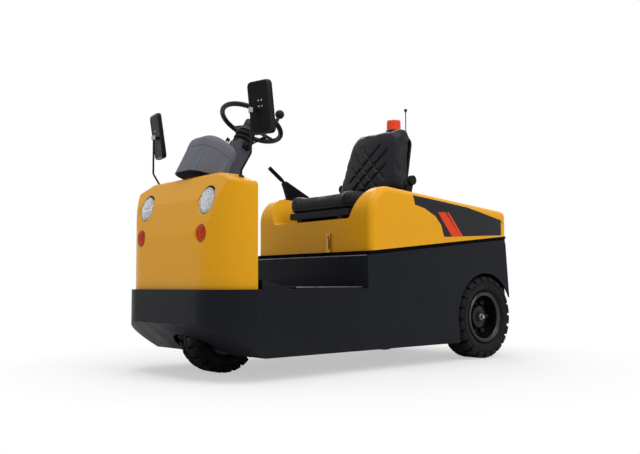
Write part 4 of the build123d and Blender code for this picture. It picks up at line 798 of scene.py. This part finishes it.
wheel = joined([rim, boss, spokes])
wheel.matrix_world = Matrix.Translation(HUB) @ column_axes
settle(wheel, wheel_plastic, "steering_wheel")
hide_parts("steering_wheel")
paint(wheel_plastic, "spinner_knob")

# Battery hood. One steel pressing in the same yellow enamel with a dark printed band and two
# orange stripes on each side, a brass toggle latch in front and two hinges behind.

BAND = [(609, 884), (592, 834), (519, 820), (432, 783), (384, 737), (361, 674), (-192, 704), (-179, 770),
        (-151, 791), (160, 847), (414, 869)]
STRIPES = ([(410, 805), (349, 809), (222, 682), (294, 677)],
           [(336, 808), (319, 809), (200, 683), (221, 682)])
ROOF_X, ROOF_Z, ROOF_SLOPE = -0.212, 0.843, 87.0 / 1131.0
ROOF_CUTS = range(2, 44, 3)
LENGTH_CUTS = [-0.15 + 0.065 * step for step in range(12)]
FILM_Y, FILM_T = 0.49, 0.0002
BAND_LIFT, STRIPE_LIFT = 0.0003, 0.0007


def decal(name, outline, lift):
    """A printed film pressed onto the hood's left side: (ahead, high) corners in millimetres."""
    corners = [ahead(x / 1000, FILM_Y, z / 1000) for x, z in outline]
    film = drawn(name, corners)
    bpy.ops.mesh.edge_face_add()
    for drop in ROOF_CUTS:
        bpy.ops.mesh.select_all(action="SELECT")
        bpy.ops.mesh.bisect(plane_co=ahead(ROOF_X, 0, ROOF_Z - drop / 1000), plane_no=(-ROOF_SLOPE, 0, 1))
    for cut_x in LENGTH_CUTS:
        bpy.ops.mesh.select_all(action="SELECT")
        bpy.ops.mesh.bisect(plane_co=ahead(cut_x, 0, 0), plane_no=(1, 0, 0))
    bpy.ops.object.mode_set(mode="OBJECT")
    modify(film, "SHRINKWRAP", target=nodes["hood"], wrap_method="PROJECT", use_project_y=True,
           use_negative_direction=True, use_positive_direction=True, offset=lift)
    modify(film, "SOLIDIFY", thickness=FILM_T, offset=0.0)
    return film


band_film = coat("charcoal_film", srgb(30, 31, 35), 0.06, 8.0, (0.26, 0.36), 1200.0, 0.04,
                 Specular_IOR_Level=0.12)
stripe_film = coat("orange_film", srgb(212, 64, 24), 0.05, 8.0, (0.26, 0.36), 1200.0, 0.04,
                   Specular_IOR_Level=0.12)
brass = coat("yellow_brass", srgb(176, 138, 62), 0.15, 30.0, (0.25, 0.4), 700.0, 0.15, Metallic=1.0)
for side, sign in SIDES:
    films = [(decal("side_band_" + side, BAND, BAND_LIFT), band_film, "charcoal_paint")]
    films += [(decal("side_stripe_%s_%d" % (side, k + 1), stripe, STRIPE_LIFT), stripe_film, "beacon_red")
              for k, stripe in enumerate(STRIPES)]
    for film, finish, slot in films:
        film.data.transform(Matrix.Scale(sign, 4, (0, 1, 0)))
        settle(film, finish, "hood")
paint(brass, "hood_latch")

# Seat. Foam pads in black vinyl on a pressed pan: the back is quilted in diamonds inside a plain
# border, with a sunk seam where the cover meets its side piece, on a moulded shell.

PAD_VOXEL = 0.006
BACK_LEAN = math.radians(15)
BACK_FOOT = ahead(0.502, 0, 0.862)
QUILT_LINES = (0.105, 0.193, 0.286)
back_up = Vector((-math.sin(BACK_LEAN), 0, math.cos(BACK_LEAN)))
back_out = Vector((math.cos(BACK_LEAN), 0, math.sin(BACK_LEAN)))
vinyl = grained("black_vinyl", srgb(28, 28, 32), 420.0, 0.3, (0.34, 0.46))
paint(black_plastic, "seat_back_shell", "recliner_knob")


def ease(value, low, high):
    """Runs smoothly from 0 at low to 1 at high."""
    share = min(1.0, max(0.0, (value - low) / (high - low)))
    return share * share * (3 - 2 * share)


def stuffed(name, node, shrink, cap, pressure):
    """A foam pad: the node's shape drawn in, blown up as cloth, and held to a cap."""
    pad = copied(name, node)
    low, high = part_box(node)
    middle = (low + high) / 2
    drawn_in = Matrix.Translation(middle) @ Matrix.Diagonal((*shrink, 1.0)) @ Matrix.Translation(-middle)
    pad.data.transform(drawn_in)
    modify(pad, "REMESH", mode="VOXEL", voxel_size=PAD_VOXEL)
    rest = [vertex.co.copy() for vertex in pad.data.vertices]
    filling = pad.modifiers.new("filling", "CLOTH")
    filling.settings.use_pressure = True
    filling.settings.uniform_pressure_force = pressure
    filling.settings.effector_weights.gravity = 0.0
    for moment in range(1, 21):
        bpy.context.scene.frame_set(moment)
    bpy.ops.object.modifier_apply(modifier=filling.name)
    bpy.context.scene.frame_set(1)
    for vertex, place in zip(pad.data.vertices, rest):
        moved = vertex.co - place
        if moved.length > cap:
            vertex.co = place + moved * (cap / moved.length)
    modify(pad, "SUBSURF", levels=1, render_levels=1)
    return pad


CROWN_LOW, CROWN_HIGH = 0.03, 0.07
BOLSTER_Y, BOLSTER_RISE = (0.155, 0.215), 0.012
SEAM_Y, SEAM_X, SEAM_W, SEAM_DEPTH = 0.172, ahead(0.80, 0, 0).x, 0.006, 0.008
SKIRT_DROP, SKIRT_RIM = 0.024, (0.90, 0.95)
PIPE_Z, PIPE_W, PIPE_DEPTH = 0.020, 0.0045, 0.006
TUCK_Z, TUCK_DEPTH = (-0.016, 0.014), 0.007
cushion = stuffed("seat_cushion_pad", "seat_cushion", (0.97, 0.97, 0.78), 0.014, 4.0)
base_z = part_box("seat_cushion")[0].z
cushion_mid = sum(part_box("seat_cushion"), Vector()) / 2
cushion_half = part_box("seat_cushion")[1] - cushion_mid
for vertex in cushion.data.vertices:
    spot = vertex.co
    reach = abs(spot.y)
    crown = ease(spot.z, base_z + CROWN_LOW, base_z + CROWN_HIGH)
    spot.z += crown * BOLSTER_RISE * ease(reach, *BOLSTER_Y)
    groove = math.exp(-((reach - SEAM_Y) / SEAM_W) ** 2)
    groove += math.exp(-((spot.x - SEAM_X) / SEAM_W) ** 2) * (reach < SEAM_Y)
    spot.z -= crown * SEAM_DEPTH * groove
    rim_share = max(abs(spot.x - cushion_mid.x) / cushion_half.x, reach / cushion_half.y)
    spot.z -= SKIRT_DROP * ease(rim_share, *SKIRT_RIM) * (1 - ease(spot.z, base_z, base_z + CROWN_LOW))
    inward = Vector((cushion_mid.x - spot.x, -spot.y, 0)).normalized()
    height = spot.z - base_z
    spot += inward * (PIPE_DEPTH * math.exp(-((height - PIPE_Z) / PIPE_W) ** 2)
                      + TUCK_DEPTH * (1 - ease(height, *TUCK_Z)))
settle(cushion, vinyl, "hood", 60)
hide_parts("seat_cushion")

FACE_OUT = (-0.034, -0.012)
QUILT_SIDE, QUILT_FOOT, QUILT_HEAD = (0.118, 0.150), (0.06, 0.09), (0.345, 0.375)
CHANNEL_W, CHANNEL_DEPTH = 0.0065, 0.013
SIDE_SEAM_OUT, SIDE_SEAM_W, SIDE_SEAM_SHARE = -0.046, 0.0045, 0.03
SIDE_SEAM_Y, HALF_WIDTH = (0.16, 0.20), 0.25
BULGE_FROM, CROWN_FROM, TAPER_FROM, RISE_FROM = (0.04, 0.13), (0.36, 0.47), (0.14, 0.47), (0.30, 0.46)
FACE_LIFT, BULGE, CROWN_DEPTH = 0.004, 0.018, 0.030
FOOT_WIDTH, TAPER, HEAD_RISE = 1.03, 0.105, 0.012
backrest = stuffed("seat_back_cover", "seat_back_pad", (0.92, 0.98, 1.0), 0.020, 4.0)
for vertex in backrest.data.vertices:
    arm = vertex.co - BACK_FOOT
    height, out, reach = arm.dot(back_up), arm.dot(back_out), abs(vertex.co.y)
    inside = (1 - ease(reach, *QUILT_SIDE)) * ease(height, *QUILT_FOOT) * (1 - ease(height, *QUILT_HEAD))
    nearest = min(abs(height + way * vertex.co.y - line) for line in QUILT_LINES for way in (1, -1))
    channel = inside * math.exp(-(nearest * math.sqrt(0.5) / CHANNEL_W) ** 2)
    seam = math.exp(-((out - SIDE_SEAM_OUT) / SIDE_SEAM_W) ** 2) * ease(reach, *SIDE_SEAM_Y)
    crown = (reach / HALF_WIDTH) ** 2 + 0.5 * ease(height, *CROWN_FROM)
    swell = FACE_LIFT + BULGE * ease(height, *BULGE_FROM) - CHANNEL_DEPTH * channel - CROWN_DEPTH * crown
    vertex.co += back_out * ease(out, *FACE_OUT) * swell
    vertex.co.y *= FOOT_WIDTH - SIDE_SEAM_SHARE * seam - TAPER * ease(height, *TAPER_FROM)
    vertex.co += back_up * HEAD_RISE * ease(height, *RISE_FROM)
settle(backrest, vinyl, "hood", 60)
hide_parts("seat_back_pad")

# Beacon, aerial and hand brake. A ribbed orange-red dome on a painted post, a rubber whip
# beside it, and a lever in a rubber gaiter on the driver's right.

beacon_red = clear("beacon_lens", srgb(232, 72, 26), 0.06, 0.25, 0.0)
beacon_low, beacon_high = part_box("beacon_lens")
beacon_foot = Vector(((beacon_low.x + beacon_high.x) / 2, (beacon_low.y + beacon_high.y) / 2, beacon_low.z))
ripple = [(0, 0.2), (44, 0.2)]
for step in range(8):
    rib_z = 6.3 * step
    ripple += [(43.9, rib_z + 2), (43.9, rib_z + 5), (42.6, rib_z + 6.2), (42.6, rib_z + 7.2)]
ripple += [(43.6, 55), (43.4, 58.6), (42.2, 61), (39.5, 61.9), (0, 61.9)]
dome = turned("beacon_dome", ripple, beacon_foot, steps=64)
settle(dome, beacon_red, "hood", 25)
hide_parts("beacon_lens")
paint(rubber, "aerial")
paint(black_plastic, "brake_lever")

# Tow pin and rear lamps. A turned steel pin through the cast jaw, lifted by its cross grip, and
# red lenses on the rear wall.

turned_steel = coat("turned_steel", srgb(168, 170, 173), 0.1, 30.0, (0.22, 0.36), 900.0, 0.12, Metallic=1.0)
tail_red = clear("tail_lens", srgb(170, 26, 22), 0.1, 0.14, 0.0)
paint(turned_steel, "tow_pin")
paint(tail_red, "rear_lamps")
JAW_BOLTS = [(y, z) for y in (-0.092, 0.092) for z in (0.285, 0.375)]
HINGE_BOLTS = [(side * 0.29 + y, z) for side in (1, -1) for y in (-0.065, 0.065) for z in (0.56, 0.60)]
BOLT_HEAD, BOLT_SINK, WASHER_SINK, TAIL_SINK = (0.019, 0.010), 0.001, 0.0004, 0.001
BOLT_WASHER = [(0, 0), (15, 0), (15, 2), (14, 2.6), (0, 2.6)]
TAIL_LENS = [(0, 0), (20, 0), (20, 3), (18.5, 4.6), (16.5, 4.8), (15, 3.8), (13, 5.2), (9, 5.6), (7.5, 4.6),
             (5.5, 5.8), (0, 6)]
TAIL_INSET = 0.030


def behind(node, y, z):
    """The point on a node's rear face at a place across and up, and the way it faces."""
    _, point, normal, _ = nodes[node].ray_cast(Vector((-3, y, z)), Vector((1, 0, 0)))
    return point, normal


for name, spots in (("jaw_bolts", JAW_BOLTS), ("hinge_bolts", HINGE_BOLTS)):
    heads = []
    for y, z in spots:
        point, normal = behind("rear_wall", y, z)
        heads.append(hexagon(name, *BOLT_HEAD, point - BOLT_SINK * normal, normal, 0.0015))
        heads.append(turned(name, BOLT_WASHER, point - WASHER_SINK * normal, normal, 28))
    settle(joined(heads), zinc, "chassis")
amber = clear("tail_amber", srgb(206, 110, 24), 0.1, 0.14, 0.0)
lamp_low, lamp_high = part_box("rear_lamps")
TAIL_LENSES = (("stop", 0.30, tail_red, "rear_lamp_red"), ("turn", 0.72, amber, "amber_lens"))
for side, sign in SIDES:
    y = sign * (lamp_high.y - TAIL_INSET)
    for name, share, finish, slot in TAIL_LENSES:
        point, normal = behind("rear_lamps", y, lamp_low.z + share * (lamp_high.z - lamp_low.z))
        lens = turned("tail_%s_%s" % (name, side), TAIL_LENS, point - TAIL_SINK * normal, normal, 36)
        settle(lens, finish, "chassis")

# Floor and light: a pale studio floor that runs out to white, a broad soft lamp over the
# machine's left, weaker ones ahead and behind, and a white surround.

FLOOR_TONE = 0.86
FLOOR_LIFT = 0.5
FADE_NEAR, FADE_FAR = 1.0, 2.6
LAMP_AIM = Vector((0, 0, 0.6))
LAMPS = (("key_lamp", (-0.6, 3.6, 3.4), 72.0, 3.0), ("top_lamp", (0.9, 0.3, 4.2), 80.0, 2.6),
         ("back_lamp", (-2.4, -3.0, 3.2), 45.0, 2.6))
floor = start("studio_floor", bpy.ops.mesh.primitive_plane_add, size=80)
floor_paint = bpy.data.materials.new("pale_floor")
floor_paint.use_nodes = True
tree = floor_paint.node_tree
matt = tree.nodes["Principled BSDF"]
matt.inputs["Base Color"].default_value = (FLOOR_TONE, FLOOR_TONE, FLOOR_TONE, 1)
matt.inputs["Roughness"].default_value = 0.9
glow = tree.nodes.new("ShaderNodeEmission")
glow.inputs["Strength"].default_value = 1.0
away = tree.nodes.new("ShaderNodeVectorMath")
away.operation = "LENGTH"
tree.links.new(tree.nodes.new("ShaderNodeTexCoord").outputs["Object"], away.inputs[0])
blend = tree.nodes.new("ShaderNodeMixShader")
lift = tree.nodes.new("ShaderNodeMath")
lift.operation = "MULTIPLY_ADD"
lift.inputs[1].default_value = FLOOR_LIFT
tree.links.new(tree.nodes.new("ShaderNodeLightPath").outputs["Is Camera Ray"], lift.inputs[0])
tree.links.new(spread(tree, away.outputs["Value"], FADE_NEAR, FADE_FAR, 0.0, 1.0), lift.inputs[2])
lift.use_clamp = True
tree.links.new(lift.outputs[0], blend.inputs[0])
tree.links.new(matt.outputs[0], blend.inputs[1])
tree.links.new(glow.outputs[0], blend.inputs[2])
tree.links.new(blend.outputs[0], tree.nodes["Material Output"].inputs[0])
floor.data.materials.append(floor_paint)

surround = bpy.data.worlds.new("white_surround")
bpy.context.scene.world = surround
surround.use_nodes = True
tree = surround.node_tree
soft = tree.nodes["Background"]
white = tree.nodes.new("ShaderNodeBackground")
for shade, strength in ((soft, 0.40), (white, 1.0)):
    shade.inputs["Color"].default_value = (1, 1, 1, 1)
    shade.inputs["Strength"].default_value = strength
rays = tree.nodes.new("ShaderNodeLightPath")
seen = rays.outputs["Is Camera Ray"]
for kind in ("Is Glossy Ray", "Is Transmission Ray"):
    either = tree.nodes.new("ShaderNodeMath")
    either.operation = "MAXIMUM"
    tree.links.new(seen, either.inputs[0])
    tree.links.new(rays.outputs[kind], either.inputs[1])
    seen = either.outputs[0]
choice = tree.nodes.new("ShaderNodeMixShader")
tree.links.new(seen, choice.inputs[0])
tree.links.new(soft.outputs[0], choice.inputs[1])
tree.links.new(white.outputs[0], choice.inputs[2])
tree.links.new(choice.outputs[0], tree.nodes["World Output"].inputs[0])

for name, place, watts, size in LAMPS:
    lamp = bpy.data.lights.new(name, "AREA")
    lamp.energy, lamp.size = watts, size
    stand = bpy.data.objects.new(name, lamp)
    bpy.context.scene.collection.objects.link(stand)
    aim = LAMP_AIM - Vector(place)
    stand.matrix_world = Matrix.Translation(place) @ aim.to_track_quat("-Z", "Y").to_matrix().to_4x4()

bpy.context.scene.view_settings.view_transform = "Standard"

# Camera at the photograph's angle, low and ahead on the machine's left, with a slightly long lens.
# Its place, turn and lens make the machine fill the picture as it does there.

CAMERA_PLACE = (2.910754, 3.1787, 0.4227)
LENS_MM, SENSOR_MM = 43.8, 36.0
YAW, PITCH, ROLL = math.radians(48.681), math.radians(4.184), math.radians(-0.231)
look = Vector((-math.cos(YAW) * math.cos(PITCH), -math.sin(YAW) * math.cos(PITCH), math.sin(PITCH)))
right = look.cross(Vector((0, 0, 1))).normalized()
up = right.cross(look)
across = math.cos(ROLL) * right + math.sin(ROLL) * up
upward = -math.sin(ROLL) * right + math.cos(ROLL) * up
lens = bpy.data.cameras.new("photo_camera")
lens.lens, lens.sensor_width = LENS_MM, SENSOR_MM
camera = bpy.data.objects.new("photo_camera", lens)
bpy.context.scene.collection.objects.link(camera)
turn = Matrix((across, upward, -look)).transposed().to_4x4()
camera.matrix_world = Matrix.Translation(CAMERA_PLACE) @ turn
bpy.context.scene.camera = camera
